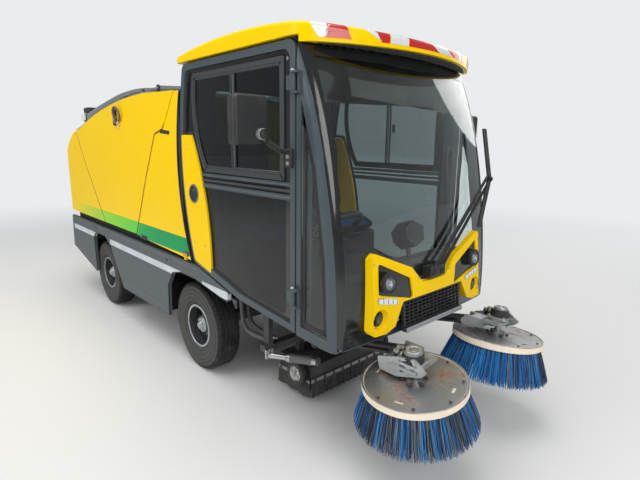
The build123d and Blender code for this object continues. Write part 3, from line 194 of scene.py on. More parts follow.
class Effects:
    """The shader node groups that the finishes share."""

    WEATHER: dict[str, float] = {"Dirt": 0.2, "Low Dust": 0.3, "Dust Top": 0.7, "Tone": 0.1,
                                 "Gloss Loss": 0.3,
                                 "Roughness": 0.35, "Grain Scale": 400.0, "Grain": 0.1, "Scratches": 0.0}

    def __init__(self) -> None:
        """Builds each group once."""
        self.weather = self._weather()
        self.rust = self._rust()
        self.weave = self._weave()

    def _weather(self) -> bpy.types.NodeTree:
        """Road dust low down, blotchy dirt, run-down streaks, tone changes and a fine grain."""
        group, tree, inside, leave = new_group(
            "weathered surface", {"Colour": GREY, "Dirt Colour": (0.2, 0.17, 0.13, 1)} | self.WEATHER,
            {"Colour": GREY, "Roughness": 0.0, "Height": 0.0})
        place = tree.place()
        broad = tree.noise(place, 2.3, 4.0)
        blotch = tree.ramp(tree.noise(place, 11.0, 6.0, 0.65), 0.48, 0.78)
        streak = tree.ramp(tree.noise(tree.place((9, 9, 0.9)), 3.0, 5.0, 0.6), 0.52, 0.82)
        height = tree.add("ShaderNodeSeparateXYZ", {0: place}).outputs[2]
        low = tree.maths("SUBTRACT", 1.0, tree.maths("DIVIDE", height, inside["Dust Top"]), clamp=True)
        low = tree.times(low, tree.ramp(tree.noise(place, 6.0, 6.0, 0.7), 0.3, 0.75), clamp=True)
        dirt = tree.times(tree.maths("ADD", blotch, tree.times(streak, 0.7)), inside["Dirt"])
        dirt = tree.maths("ADD", dirt, tree.times(low, inside["Low Dust"]), clamp=True)
        patch = tree.maths("SUBTRACT", broad, 0.5)
        tone = tree.maths("ADD", 1.0, tree.times(patch, inside["Tone"]))
        toned = tree.add("ShaderNodeHueSaturation", {"Color": inside["Colour"], "Value": tone}).outputs[0]
        rough = tree.maths("ADD", inside["Roughness"], tree.times(dirt, inside["Gloss Loss"]))
        grain = tree.times(tree.noise(place, inside["Grain Scale"], 2.0, 0.5), inside["Grain"])
        scratch = tree.ramp(tree.noise(tree.place((60, 60, 900), (0.4, 0.3, 0)), 1.0, 3.0), 0.62, 0.7)
        tree.feed(leave, {
            "Colour": tree.mix(dirt, toned, inside["Dirt Colour"]),
            "Roughness": tree.maths("ADD", rough, tree.times(patch, 0.08), clamp=True),
            "Height": tree.maths("SUBTRACT", grain, tree.times(scratch, inside["Scratches"]))})
        return group

    def _rust(self) -> bpy.types.NodeTree:
        """Rust that blooms in spots over a metal."""
        group, tree, inside, leave = new_group("rust bloom", {"Colour": GREY, "Amount": 0.3, "Scale": 14.0},
                                               {"Colour": GREY, "Mask": 0.0})
        place = tree.place()
        cloud = tree.noise(place, inside["Scale"], 8.0, 0.68)
        edge = tree.maths("SUBTRACT", 0.72, tree.times(inside["Amount"], 0.3))
        mask = tree.times(tree.maths("SUBTRACT", cloud, edge), 9.0, clamp=True)
        tone = tree.mix(tree.noise(place, 60.0), (0.34, 0.15, 0.06), (0.14, 0.06, 0.028))
        tree.feed(leave, {"Colour": tree.mix(mask, inside["Colour"], tone), "Mask": mask})
        return group

    def _weave(self) -> bpy.types.NodeTree:
        """Crossed threads: two sine waves at right angles, higher where one passes over the other."""
        group, tree, inside, leave = new_group(
            "plain weave", {"Colour": (0.1, 0.2, 0.4, 1), "Dark": 0.6, "Pitch": 0.003},
            {"Colour": GREY, "Height": 0.0})
        turns = [tree.maths("SINE", tree.maths("DIVIDE", axis, inside["Pitch"])) for axis in tree.axes()]
        cross = tree.maths("ADD", tree.times(turns[0], turns[2]), tree.times(turns[1], turns[2]))
        height = tree.maths("MULTIPLY_ADD", cross, 0.25, 0.5)
        dark = tree.maths("MULTIPLY_ADD", height, tree.maths("SUBTRACT", 1.0, inside["Dark"]), inside["Dark"])
        shaded = tree.add("ShaderNodeHueSaturation", {"Color": inside["Colour"], "Value": dark}).outputs[0]
        tree.feed(leave, {"Colour": shaded, "Height": height})
        return group


EFFECTS = Effects()


@dataclass(frozen=True)
class Finish:
    """A finish with weather on it. Numbers that are the same all over go straight to the shader's sockets."""

    name: str
    colour: Colour
    roughness: float = 0.35
    metallic: float = 0.0
    coat: float = 0.0
    specular: float = 0.5
    dirt: float = 0.15
    dirt_colour: Colour = (0.20, 0.17, 0.13)
    low_dust: float = 0.3
    dust_top: float = 0.75
    tone: float = 0.12
    gloss_loss: float = 0.35
    grain_scale: float = 500.0
    grain: float = 0.2
    bump: float = 0.0006
    scratches: float = 0.0
    rust: float = 0.0
    rust_scale: float = 14.0
    weave: float = 0.0

    def base(self, tree: Tree):
        """The colour before the weather, as a colour or a socket."""
        return self.colour

    def material(self) -> bpy.types.Material:
        """Builds the finish's material."""
        material, tree = new_material(self.name)
        colour = self.base(tree)
        if not isinstance(colour, bpy.types.NodeSocket):
            colour = (*colour, 1.0)
        if self.weave:
            cloth = tree.add("ShaderNodeGroup", {"Colour": colour, "Pitch": self.weave},
                             node_tree=EFFECTS.weave)
            colour = cloth.outputs["Colour"]
        if self.rust:
            bloom = tree.add("ShaderNodeGroup", {"Colour": colour, "Amount": self.rust,
                                                 "Scale": self.rust_scale},
                             node_tree=EFFECTS.rust)
            colour = bloom.outputs["Colour"]
        values = {label: getattr(self, label.lower().replace(" ", "_")) for label in EFFECTS.WEATHER}
        weather = tree.add("ShaderNodeGroup", {"Colour": colour, "Dirt Colour": (*self.dirt_colour, 1.0)}
                           | values, node_tree=EFFECTS.weather).outputs
        height = weather["Height"]
        if self.weave:
            height = tree.maths("ADD", height, cloth.outputs["Height"])
        bump = tree.add("ShaderNodeBump", {"Height": height, "Distance": self.bump, "Strength": 0.6})
        shader = tree.add("ShaderNodeBsdfPrincipled", {
            "Base Color": weather["Colour"], "Roughness": weather["Roughness"],
            "Normal": bump.outputs["Normal"],
            "Coat Weight": self.coat, "Coat Roughness": 0.06, "Specular IOR Level": self.specular,
            "Metallic": self.metallic})
        if self.rust and self.metallic:
            clean = tree.maths("MULTIPLY_ADD", bloom.outputs["Mask"], -self.metallic, self.metallic)
            tree.feed(shader, {"Metallic": clean})
        self.extra(tree, shader)
        tree.add("ShaderNodeOutputMaterial", {"Surface": shader.outputs[0]})
        material.diffuse_color = (*self.colour, 1.0)
        return material

    def extra(self, tree: Tree, shader: bpy.types.Node) -> None:
        """A place for a finish to add to its shader."""


@dataclass(frozen=True)
class BandedPaint(Finish):
    """Yellow body paint whose lower band fades from lime at the rear to green at the front."""

    band_top: float = 0.905
    band_rear: float = -2.12
    band_front: float = -0.10
    joint_slope: float = 0.544
    joint_foot: float = 0.806
    foot_top: float = 0.792
    foot_rear: float = -0.40
    outer_face: float = 0.6375

    def base(self, tree: Tree):
        """Yellow above the band and on inner faces, and a rear-to-front fade below its top edge."""
        axes = tree.axes()
        rise = tree.maths("SUBTRACT", axes[2], self.joint_foot)
        level = tree.maths("MULTIPLY_ADD", rise, -self.joint_slope, axes[0])
        along = tree.add("ShaderNodeMapRange", {"Value": level, "From Min": self.band_rear,
                                                "From Max": self.band_front}).outputs[0]
        fade = tree.add("ShaderNodeValToRGB", {0: along})
        stops = fade.color_ramp.elements
        for position, colour in ((0.14, (0.72, 0.66, 0.01)), (0.32, (0.46, 0.66, 0.02)),
                                 (0.55, (0.25, 0.66, 0.03)),
                                 (0.812, (0.11, 0.62, 0.06)), (0.820, (0.015, 0.40, 0.08))):
            stops.new(position).color = (*colour, 1)
        stops[0].color = (*self.colour, 1)
        stops[-1].color = (0.002, 0.31, 0.09, 1)
        band = tree.ramp(axes[2], self.band_top - 0.0015, self.band_top + 0.0015, 1.0, 0.0)
        foot = tree.times(tree.maths("LESS_THAN", axes[2], self.foot_top),
                          tree.maths("GREATER_THAN", axes[0], self.foot_rear))
        band = tree.times(band, tree.maths("SUBTRACT", 1.0, foot))
        outside = tree.maths("GREATER_THAN", tree.maths("ABSOLUTE", axes[1]), self.outer_face)
        band = tree.times(band, outside)
        return tree.mix(band, self.colour, fade.outputs[0])


@dataclass(frozen=True)
class StripedPaint(Finish):
    """Grey skirt paint with a silver-white stripe at one height, in lengths along the machine."""

    stripe: Colour = (0.62, 0.66, 0.70)
    low: float = 0.616
    high: float = 0.663
    lengths: tuple[tuple[float, float], ...] = ((-2.14, -1.435), (-1.097, 0.245), (0.53, 0.825))

    def base(self, tree: Tree):
        """The stripe's colour inside its lengths, and the paint elsewhere."""
        axes = tree.axes()
        parts = [tree.between(axes[0], start, end) for start, end in self.lengths]
        reach = reduce(lambda first, second: tree.maths("MAXIMUM", first, second), parts)
        return tree.mix(tree.times(tree.between(axes[2], self.low, self.high), reach), self.colour,
                        self.stripe)


@dataclass(frozen=True)
class DishShadeAndDustPaint(Finish):
    """Silver paint for the wheels with painted shade: the dish between the hub and the deep rim is darkened to
    stand for the shade in that recess.
    """

    # painted shade of the wheels' dish; the tyres put their dusty walls' colour here
    dish: Colour = (0.020, 0.022, 0.024)
    inner: float = 0.056
    outer: float = 0.131
    axle_z: float = 0.297

    def base(self, tree: Tree):
        """The dish's colour (painted shade on the wheels, dusty walls on the tyres) where the distance from
        the nearer axle lies between two radii.
        """
        axes = tree.axes()
        middle, half = (AXLE_X + REAR_AXLE_X) / 2, abs(AXLE_X - REAR_AXLE_X) / 2
        along = tree.maths("ABSOLUTE", tree.maths("SUBTRACT", axes[0], middle))
        along = tree.maths("SUBTRACT", along, half)
        above = tree.maths("SUBTRACT", axes[2], self.axle_z)
        reach = tree.maths("SQRT", tree.maths("ADD", tree.times(along, along),
                                              tree.times(above, above)))
        inside = tree.times(tree.ramp(reach, self.inner - 0.001, self.inner + 0.001),
                            tree.ramp(reach, self.outer - 0.003, self.outer + 0.003, 1.0, 0.0))
        return tree.mix(inside, self.colour, self.dished(tree, reach))

    def dished(self, tree: Tree, reach: bpy.types.NodeSocket):
        """The dish's painted shade, which may change with the distance from the axle."""
        return self.dish


@dataclass(frozen=True)
class TyreRubber(DishShadeAndDustPaint):
    """Dark rubber with dusty side walls between the rim and the shoulder."""

    dish: Colour = (0.062, 0.062, 0.060)
    inner: float = 0.100
    outer: float = 0.272
    ring_pitch: float = 0.027

    def dished(self, tree: Tree, reach: bpy.types.NodeSocket):
        """The walls' colour with worn moulding rings round the axle."""
        wave = tree.maths("SINE", tree.times(reach, 2 * math.pi / self.ring_pitch))
        line = tree.times(tree.ramp(wave, 0.75, 0.97), 0.65)
        broad = tree.times(tree.ramp(wave, -0.9, -0.2, 1.0, 0.0), 0.25)
        return tree.mix(broad, tree.mix(line, self.dish, self.colour), (0.100, 0.098, 0.094))


@dataclass(frozen=True)
class Glass(Finish):
    """Clear or tinted glass with a film of dust."""

    tint: Colour = (0.75, 0.84, 0.82)
    film: float = 0.06

    def material(self) -> bpy.types.Material:
        """Builds the glass."""
        material, tree = new_material(self.name)
        dust = tree.ramp(tree.noise(tree.place((3, 3, 1.2)), 2.4, 6.0, 0.7), 0.35, 0.9, 0.0, self.film)
        shader = tree.add("ShaderNodeBsdfPrincipled", {
            "Base Color": tree.mix(dust, self.tint, (0.30, 0.29, 0.26)),
            "Roughness": tree.ramp(dust, 0.0, 0.2, 0.0, 0.05),
            "Transmission Weight": 1.0, "IOR": 1.40, "Specular IOR Level": 0.4})
        tree.add("ShaderNodeOutputMaterial", {"Surface": shader.outputs[0]})
        material.diffuse_color = (*self.tint, 0.4)
        return material


@dataclass(frozen=True)
class Glow(Finish):
    """A lamp face that gives a little light of its own."""

    strength: float = 0.6

    def extra(self, tree: Tree, shader: bpy.types.Node) -> None:
        """Adds the glow to the shader."""
        tree.feed(shader, {"Emission Color": (*self.colour, 1.0), "Emission Strength": self.strength})


YELLOW: Colour = (0.98, 0.63, 0.0)

FINISHES: dict[str, Finish] = {finish.name: finish for finish in (
    Finish("yellow paint", YELLOW, 0.22, coat=0.04, specular=0.08, dirt=0.02, low_dust=0.06, dust_top=1.0,
           tone=0.05, dirt_colour=(0.40, 0.27, 0.03), grain=0.10, grain_scale=60, bump=0.0004),
    BandedPaint("banded paint", YELLOW, 0.22, coat=0.04, specular=0.08, dirt=0.02, low_dust=0.08,
                dust_top=1.1, tone=0.05,
                dirt_colour=(0.36, 0.30, 0.05), grain=0.10, grain_scale=60, bump=0.0004),
    Finish("door frame paint", (0.058, 0.078, 0.090), 0.36, specular=0.4, dirt=0.08, low_dust=0.2, tone=0.08,
           grain=0.15, grain_scale=900, bump=0.0001),
    StripedPaint("skirt paint", (0.082, 0.103, 0.114), 0.45, specular=0.3, dirt=0.20, low_dust=0.45,
                 dust_top=1.0, tone=0.16,
                 dirt_colour=(0.17, 0.15, 0.13), grain=0.5, grain_scale=700, bump=0.0004),
    Finish("tub paint", (0.20, 0.215, 0.22), 0.5, dirt=0.3, low_dust=0.1, tone=0.2, grain=0.4,
           grain_scale=300, rust=0.12, rust_scale=9.0),
    Finish("frame paint", (0.028, 0.030, 0.032), 0.5, dirt=0.45, low_dust=0.6, dust_top=0.9, tone=0.3,
           grain=0.6, grain_scale=260, rust=0.10, rust_scale=12.0, dirt_colour=(0.13, 0.115, 0.10)),
    Finish("cast aluminium", (0.52, 0.54, 0.55), 0.42, metallic=0.85, dirt=0.35, low_dust=0.5, tone=0.25,
           grain=0.9, grain_scale=380, bump=0.0009, dirt_colour=(0.12, 0.11, 0.10)),
    Finish("cast iron", (0.07, 0.07, 0.07), 0.6, metallic=0.3, dirt=0.5, low_dust=0.7, tone=0.3, grain=0.9,
           grain_scale=260, bump=0.001, rust=0.35, dirt_colour=(0.14, 0.12, 0.10)),
    Finish("disc steel", (0.42, 0.43, 0.44), 0.38, metallic=0.9, dirt=0.25, low_dust=0.35, tone=0.25,
           grain=0.6, grain_scale=240, scratches=0.8, rust=0.58, rust_scale=9.0),
    Finish("bright steel", (0.62, 0.63, 0.63), 0.28, metallic=1.0, dirt=0.2, low_dust=0.3, tone=0.1,
           scratches=0.6),
    # silver paint for the wheels, its dish darkened as painted shade
    DishShadeAndDustPaint("wheel paint", (0.44, 0.48, 0.50), 0.36, metallic=0.6, dirt=0.30, low_dust=0.30, dust_top=0.6,
              tone=0.15, dirt_colour=(0.10, 0.095, 0.09), grain=0.4, grain_scale=500),
    Finish("rim silver", (0.50, 0.53, 0.55), 0.34, metallic=0.7, dirt=0.25, low_dust=0.3, dust_top=0.6,
           tone=0.15, dirt_colour=(0.10, 0.095, 0.09), grain=0.4, grain_scale=500),
    TyreRubber("tyre rubber", (0.013, 0.013, 0.014), 0.72, dirt=0.22, low_dust=0.42, dust_top=0.62, tone=0.3,
               grain=0.6, grain_scale=320, bump=0.0006, specular=0.3, dirt_colour=(0.125, 0.122, 0.115)),
    Finish("black rubber", (0.018, 0.018, 0.019), 0.6, dirt=0.25, low_dust=0.5, tone=0.2, grain=0.5,
           grain_scale=500, dirt_colour=(0.14, 0.13, 0.11)),
    # near-black: partly a black liner, partly painted shade inside the wheel arches
    Finish("housing black", (0.008, 0.008, 0.009), 0.7, dirt=0.15, low_dust=0.12, tone=0.2, grain=0.5,
           grain_scale=500, specular=0.2, dirt_colour=(0.06, 0.055, 0.05)),
    Finish("black plastic", (0.020, 0.021, 0.022), 0.42, dirt=0.12, low_dust=0.3, tone=0.15, grain=0.8,
           grain_scale=900, bump=0.0003),
    Finish("gloss black", (0.012, 0.013, 0.014), 0.12, coat=0.4, dirt=0.06, low_dust=0.2, tone=0.1,
           grain=0.05),
    Finish("grey plastic", (0.24, 0.265, 0.27), 0.5, dirt=0.05, low_dust=0.0, tone=0.08, grain=0.9,
           grain_scale=1100, bump=0.0003),
    Finish("lining grey", (0.050, 0.054, 0.052), 0.62, dirt=0.05, low_dust=0.0, tone=0.12, grain=0.8,
           grain_scale=900, bump=0.0003),
    Finish("dark trim", (0.045, 0.048, 0.05), 0.6, dirt=0.05, low_dust=0.0, tone=0.1, grain=0.8,
           grain_scale=900),
    Finish("seat cloth", (0.022, 0.10, 0.34), 0.85, dirt=0.08, low_dust=0.0, tone=0.15, grain=0.4,
           grain_scale=300, bump=0.0008, weave=0.0009, specular=0.2),
    Finish("seat bolster", (0.020, 0.022, 0.025), 0.8, dirt=0.08, low_dust=0.0, tone=0.15, grain=0.4,
           grain_scale=300, bump=0.0008, weave=0.0007, specular=0.2),
    Finish("ring wood", (0.92, 0.80, 0.63), 0.70, dirt=0.18, low_dust=0.1, tone=0.25, grain=0.7,
           grain_scale=140, bump=0.0008, dirt_colour=(0.20, 0.18, 0.15), specular=0.3),
    Finish("blue bristle", (0.008, 0.085, 0.26), 0.45, dirt=0.05, low_dust=0.15, tone=0.5, grain=0.1),
    Finish("black bristle", (0.010, 0.012, 0.016), 0.5, dirt=0.1, low_dust=0.2, tone=0.5, grain=0.1),
    Finish("grey bristle", (0.16, 0.17, 0.19), 0.5, dirt=0.1, low_dust=0.2, tone=0.5, grain=0.1),
    Finish("red reflector", (0.55, 0.012, 0.012), 0.22, coat=0.6, dirt=0.04, low_dust=0.0, tone=0.05,
           grain_scale=900, grain=0.6, bump=0.0003),
    Finish("white reflector", (0.70, 0.73, 0.76), 0.25, coat=0.6, dirt=0.05, low_dust=0.0, tone=0.05,
           grain_scale=900, grain=0.6, bump=0.0003),
    Finish("orange lens", (0.75, 0.17, 0.01), 0.12, coat=0.7, dirt=0.08, tone=0.05, grain=0.1),
    Finish("red lens", (0.42, 0.01, 0.01), 0.12, coat=0.7, dirt=0.08, tone=0.05, grain=0.1),
    Finish("chrome", (0.80, 0.81, 0.82), 0.07, metallic=1.0, dirt=0.03, low_dust=0.1, tone=0.03, grain=0.0),
    Glow("lamp white", (0.70, 0.74, 0.80), 0.15, coat=0.5, dirt=0.03, low_dust=0.1, tone=0.03, strength=0.10),
    Finish("bright bristle", (0.018, 0.24, 0.62), 0.40, dirt=0.03, low_dust=0.1, tone=0.35, grain=0.1),
    Finish("window frame grey", (0.040, 0.046, 0.050), 0.36, dirt=0.06, low_dust=0.1, tone=0.08, grain=0.3,
           grain_scale=800, bump=0.0001),
    Finish("ring grey", (0.15, 0.165, 0.175), 0.34, metallic=0.3, dirt=0.06, low_dust=0.1, tone=0.08,
           grain=0.2),
    Finish("mirror glass", (0.72, 0.75, 0.77), 0.05, metallic=1.0, dirt=0.04, low_dust=0.0, tone=0.03,
           grain=0.0),
    Finish("knob grey", (0.30, 0.31, 0.31), 0.45, dirt=0.15, low_dust=0.0, tone=0.12, grain=0.5,
           grain_scale=600),
    Finish("lamp bowl", (0.34, 0.35, 0.38), 0.22, metallic=1.0, dirt=0.05, low_dust=0.0, tone=0.05,
           grain=0.0),
    Finish("lip silver", (0.34, 0.36, 0.38), 0.38, metallic=0.3, dirt=0.20, low_dust=0.3, tone=0.12,
           grain=0.3, grain_scale=700, scratches=0.4, bump=0.0001),
    Finish("rusty steel", (0.16, 0.12, 0.10), 0.62, metallic=0.5, dirt=0.4, low_dust=0.0, tone=0.3, grain=0.9,
           grain_scale=300, bump=0.0008, rust=0.62, rust_scale=38.0),
    Finish("skirt edge paint", (0.100, 0.116, 0.124), 0.42, dirt=0.28, low_dust=0.5, dust_top=1.0, tone=0.16,
           dirt_colour=(0.17, 0.15, 0.13), grain=0.5, grain_scale=700, bump=0.0002),
    # the spiral wrap's ridges are real; its grey, well above black rubber, is painted sheen standing for
    # highlights on black hoses
    Finish("hose wrap", (0.075, 0.078, 0.080), 0.34, dirt=0.2, low_dust=0.35, tone=0.12, grain=0.3),
    Finish("strut sleeve grey", (0.15, 0.16, 0.165), 0.42, metallic=0.4, dirt=0.3, low_dust=0.4, tone=0.15,
           grain=0.4),
    Finish("bare plate white", (0.62, 0.64, 0.63), 0.38, dirt=0.25, low_dust=0.5, tone=0.08, grain=0.3,
           grain_scale=500),
    Finish("screw zinc", (0.45, 0.46, 0.46), 0.35, metallic=0.9, dirt=0.2, low_dust=0.3, tone=0.1, grain=0.3),
    Glass("screen glass", (0.8, 0.85, 0.85), tint=(0.86, 0.92, 0.90), film=0.03),
    Glass("door glass", (0.5, 0.55, 0.55), tint=(0.15, 0.19, 0.20), film=0.03),
    Glass("lamp glass", (0.9, 0.9, 0.9), tint=(0.93, 0.95, 0.95), film=0.02),
)}


@cache
def finish(name: str) -> bpy.types.Material:
    """The material of a named finish, built when it is first asked for."""
    return FINISHES[name].material()


# Shapes worked out as arrays


@dataclass
class Shape:
    """Points and faces, and which of a piece's finishes the faces wear."""

    points: np.ndarray
    faces: list
    finish: int = 0

    def moved(self, x: float = 0.0, y: float = 0.0, z: float = 0.0) -> "Shape":
        """The shape shifted."""
        return Shape(self.points + np.array([x, y, z]), self.faces, self.finish)

    def turned(self, matrix: np.ndarray) -> "Shape":
        """The shape turned about the origin by a 3 by 3 matrix."""
        return Shape(self.points @ np.asarray(matrix).T, self.faces, self.finish)

    def mirrored(self) -> "Shape":
        """The shape on the machine's other side."""
        flipped = [tuple(reversed(face)) for face in self.faces]
        return Shape(self.points * np.array([1.0, -1.0, 1.0]), flipped, self.finish)

    def worn(self, number: int) -> "Shape":
        """The shape with another of the piece's finishes."""
        return Shape(self.points, self.faces, number)


def on_side(shapes: list[Shape], side: Side) -> list[Shape]:
    """Left-hand shapes as they are, or mirrored for the right."""
    return shapes if side is Side.LEFT else [shape.mirrored() for shape in shapes]


def both(shapes: list[Shape]) -> list[Shape]:
    """Left-hand shapes with their mirror images."""
    return shapes + on_side(shapes, Side.RIGHT)


def lattice(first: np.ndarray, second: np.ndarray) -> list[np.ndarray]:
    """Two ranges as the two coordinates of a grid."""
    return np.meshgrid(first, second, indexing="ij")


def grid(points: np.ndarray, wrap_u: bool = False, wrap_v: bool = False, cap: bool = False,
         worn: int = 0) -> Shape:
    """A surface from a grid of points: each cell between neighbours is one face.

    Args:
        points: array of n by m by 3.
        wrap_u: the last row joins the first.
        wrap_v: the last column joins the first.
        cap: closes the first and the last row with one face each.
        worn: which of the piece's finishes.

    Returns:
        The surface.
    """
    n, m, _ = points.shape
    rows = np.arange(n if wrap_u else n - 1)
    columns = np.arange(m if wrap_v else m - 1)
    i, j = lattice(rows, columns)
    i2, j2 = (i + 1) % n, (j + 1) % m
    quads = np.stack([i * m + j, i * m + j2, i2 * m + j2, i2 * m + j], axis=-1).reshape(-1, 4)
    faces = list(map(tuple, quads.tolist()))
    if cap:
        faces.append(tuple(range(m - 1, -1, -1)))
        faces.append(tuple((n - 1) * m + k for k in range(m)))
    return Shape(points.reshape(-1, 3).astype(float), faces, worn)


def circle(count: int, start: float = 0.0, turn: float = 2 * math.pi, closed: bool = True) -> np.ndarray:
    """Angles round a circle, evenly spaced."""
    return start + turn * np.arange(count) / (count if closed else count - 1)


def basis(direction: np.ndarray, hint: Triple = Z) -> np.ndarray:
    """Two unit vectors square to a direction, and the direction itself, as columns."""
    axis = np.asarray(direction, float)
    axis = axis / np.linalg.norm(axis)
    reference = np.array(hint, float)
    if abs(axis @ reference) > 0.98:
        reference = np.array([1.0, 0.0, 0.0])
    across = np.cross(reference, axis)
    across /= np.linalg.norm(across)
    return np.stack([across, np.cross(axis, across), axis], axis=1)


def lathe(profile: list[tuple[float, float]], place: tuple, axis: tuple = Z, count: int = 48,
          loop: bool = False, worn: int = 0) -> Shape:
    """A turned shape: each profile point (radius, distance along the axis) sweeps a circle.

    Args:
        profile: radius and distance pairs; a radius of 0 makes a pole.
        place: where distance 0 lies.
        axis: the turning axis.
        count: points round the circle.
        loop: the profile closes on itself, as for a ring.
        worn: which of the piece's finishes.

    Returns:
        The turned surface.
    """
    radius, along = np.array(profile, float).T
    angle = circle(count)
    local = np.stack([np.outer(radius, np.cos(angle)), np.outer(radius, np.sin(angle)),
                      np.repeat(along[:, None], count, axis=1)], axis=-1)
    points = local @ basis(np.array(axis, float)).T + np.array(place, float)
    return grid(points, wrap_u=loop, wrap_v=True, cap=not loop and radius[0] > 1e-6, worn=worn)


def unit(vectors) -> np.ndarray:
    """Vectors scaled to length 1."""
    return vectors / np.linalg.norm(vectors, axis=-1, keepdims=True)


def frames_along(path: np.ndarray, closed: bool = False, hint=None) -> tuple[np.ndarray, np.ndarray]:
    """Two directions square to a path at each of its points, from its tangents and a hint."""
    ahead = np.roll(path, -1, axis=0) - np.roll(path, 1, axis=0) if closed else np.gradient(path, axis=0)
    tangent = unit(ahead)
    if hint is None:
        hint = np.eye(3)[int(np.argmin(np.abs(tangent).sum(axis=0)))]
    across = unit(np.cross(hint, tangent))
    return across, np.cross(tangent, across)


def tube(path, radius, count: int = 12, closed: bool = False, worn: int = 0) -> Shape:
    """A round bar along a path: a circle of the given radius, or radii, carried square to it."""
    path = np.asarray(path, float)
    across, up = frames_along(path, closed)
    angle = circle(count)
    size = np.broadcast_to(np.asarray(radius, float), (len(path),))[:, None, None]
    ring = np.cos(angle)[None, :, None] * across[:, None, :] + np.sin(angle)[None, :, None] * up[:, None, :]
    return grid(path[:, None, :] + size * ring, wrap_u=closed, wrap_v=True, cap=not closed, worn=worn)


def ribbon(path, section: np.ndarray, hint: Triple, closed: bool = False, worn: int = 0) -> Shape:
    """A section (sideways, upwards) carried along a path, kept upright against a hint."""
    path, section = np.asarray(path, float), np.asarray(section, float)
    across, up = frames_along(path, closed, hint)
    points = (path[:, None, :] + section[None, :, :1] * across[:, None, :]
              + section[None, :, 1:] * up[:, None, :])
    return grid(points, wrap_u=closed, wrap_v=True, cap=not closed, worn=worn)


def smooth_path(points, count: int, closed: bool = False) -> np.ndarray:
    """A path through points: each span is a cubic (Catmull-Rom) through its four nearest points."""
    points = np.asarray(points, float)
    if closed:
        padded = np.vstack([points[-1], points, points[:2]])
        spans = len(points)
    else:
        padded = np.vstack([2 * points[0] - points[1], points, 2 * points[-1] - points[-2]])
        spans = len(points) - 1
    at = np.linspace(0, spans, count, endpoint=not closed)
    span = np.minimum(at.astype(int), spans - 1)
    t = (at - span)[:, None]
    p0, p1, p2, p3 = (padded[span + k] for k in range(4))
    return 0.5 * (2 * p1 + (p2 - p0) * t + (2 * p0 - 5 * p1 + 4 * p2 - p3) * t ** 2
                  + (3 * p1 - p0 - 3 * p2 + p3) * t ** 3)


def rounded(width: float, height: float, radius: float, steps: int = 5) -> np.ndarray:
    """A rectangle's outline with round corners, round its middle."""
    radius = min(radius, width / 2 - 1e-5, height / 2 - 1e-5)
    corner = circle(steps + 1, 0, math.pi / 2, closed=False)
    rings = []
    for k, (sx, sy) in enumerate(((1, 1), (-1, 1), (-1, -1), (1, -1))):
        angle = corner + k * math.pi / 2
        rings.append(np.stack([sx * (width / 2 - radius) + radius * np.cos(angle),
                               sy * (height / 2 - radius) + radius * np.sin(angle)], axis=1))
    return np.vstack(rings)


def shrink(outline: np.ndarray, amount: float) -> np.ndarray:
    """An outline moved inwards: each point goes along the mean of its two edges' normals."""
    ahead = np.roll(outline, -1, axis=0) - outline
    ahead /= np.maximum(np.linalg.norm(ahead, axis=1, keepdims=True), 1e-9)
    behind = np.roll(ahead, 1, axis=0)
    normal = np.stack([-(ahead + behind)[:, 1], (ahead + behind)[:, 0]], axis=1)
    length = np.linalg.norm(normal, axis=1, keepdims=True)
    normal /= np.maximum(length, 1e-9)
    widen = np.clip(2 / np.maximum(length, 0.5), 1.0, 1.6)
    x, y = outline.T
    area = 0.5 * np.sum(x * np.roll(y, -1) - np.roll(x, -1) * y)
    return outline + np.sign(area) * amount * widen * normal


def layered(layers: list[tuple[np.ndarray, float]], origin, u, v) -> np.ndarray:
    """Outlines (n by 2) in directions u and v as rows of places, each at its level along u x v."""
    u, v = np.array(u, float), np.array(v, float)
    normal = unit(np.cross(u, v))
    return np.stack([np.array(origin) + ring[:, :1] * u + ring[:, 1:] * v + level * normal for ring,
                     level in layers])


def plate(outline, depth: float, origin: tuple, u: tuple, v: tuple, chamfer: float = 0.0015,
          worn: int = 0) -> Shape:
    """A flat plate: an outline in directions u and v, given a depth along u x v, with chamfered edges.

    Args:
        outline: points (n by 2).
        depth: thickness along the normal.
        origin: where the outline's zero lies, on the back face.
        u: first direction.
        v: second direction.
        chamfer: width of the edge's chamfer.
        worn: which of the piece's finishes.

    Returns:
        The closed plate.
    """
    outline = np.asarray(outline, float)
    chamfer = min(chamfer, abs(depth) / 2.2)
    inner = shrink(outline, chamfer)
    sign = math.copysign(1, depth)
    layers = [(inner, 0.0), (outline, sign * chamfer), (outline, depth - sign * chamfer), (inner, depth)]
    return grid(layered(layers, origin, u, v), wrap_v=True, cap=True, worn=worn)


def block(low: tuple, high: tuple, round_edge: float = 0.003, worn: int = 0, steps: int = 3) -> Shape:
    """A block between two corners with rounded upright and chamfered level edges."""
    low, high = np.array(low, float), np.array(high, float)
    size = high - low
    outline = rounded(size[0], size[1], round_edge, steps)
    middle = (low + high) / 2
    return plate(outline, size[2], (middle[0], middle[1], low[2]), X, Y, round_edge * 0.6, worn)


def screw(place: tuple, axis: tuple, radius: float = 0.006, worn: int = 0) -> Shape:
    """A domed screw head with a round recess, standing on a face."""
    profile = [(radius, 0), (radius, radius * 0.25), (radius * 0.8, radius * 0.55),
               (radius * 0.45, radius * 0.68), (radius * 0.42, radius * 0.3), (0, radius * 0.3)]
    return lathe(profile, place, axis, 12, worn=worn)


def hexagon(place: tuple, axis: tuple, radius: float, height: float, worn: int = 0) -> Shape:
    """A hexagon bolt head on its washer."""
    head = lathe([(radius, 0.2 * height), (radius, 0.85 * height), (radius * 0.86, height), (0, height)],
                 place, axis, 6)
    washer = lathe([(radius * 1.3, 0), (radius * 1.3, 0.2 * height), (0, 0.2 * height)], place, axis, 16)
    return joined([head, washer], worn)


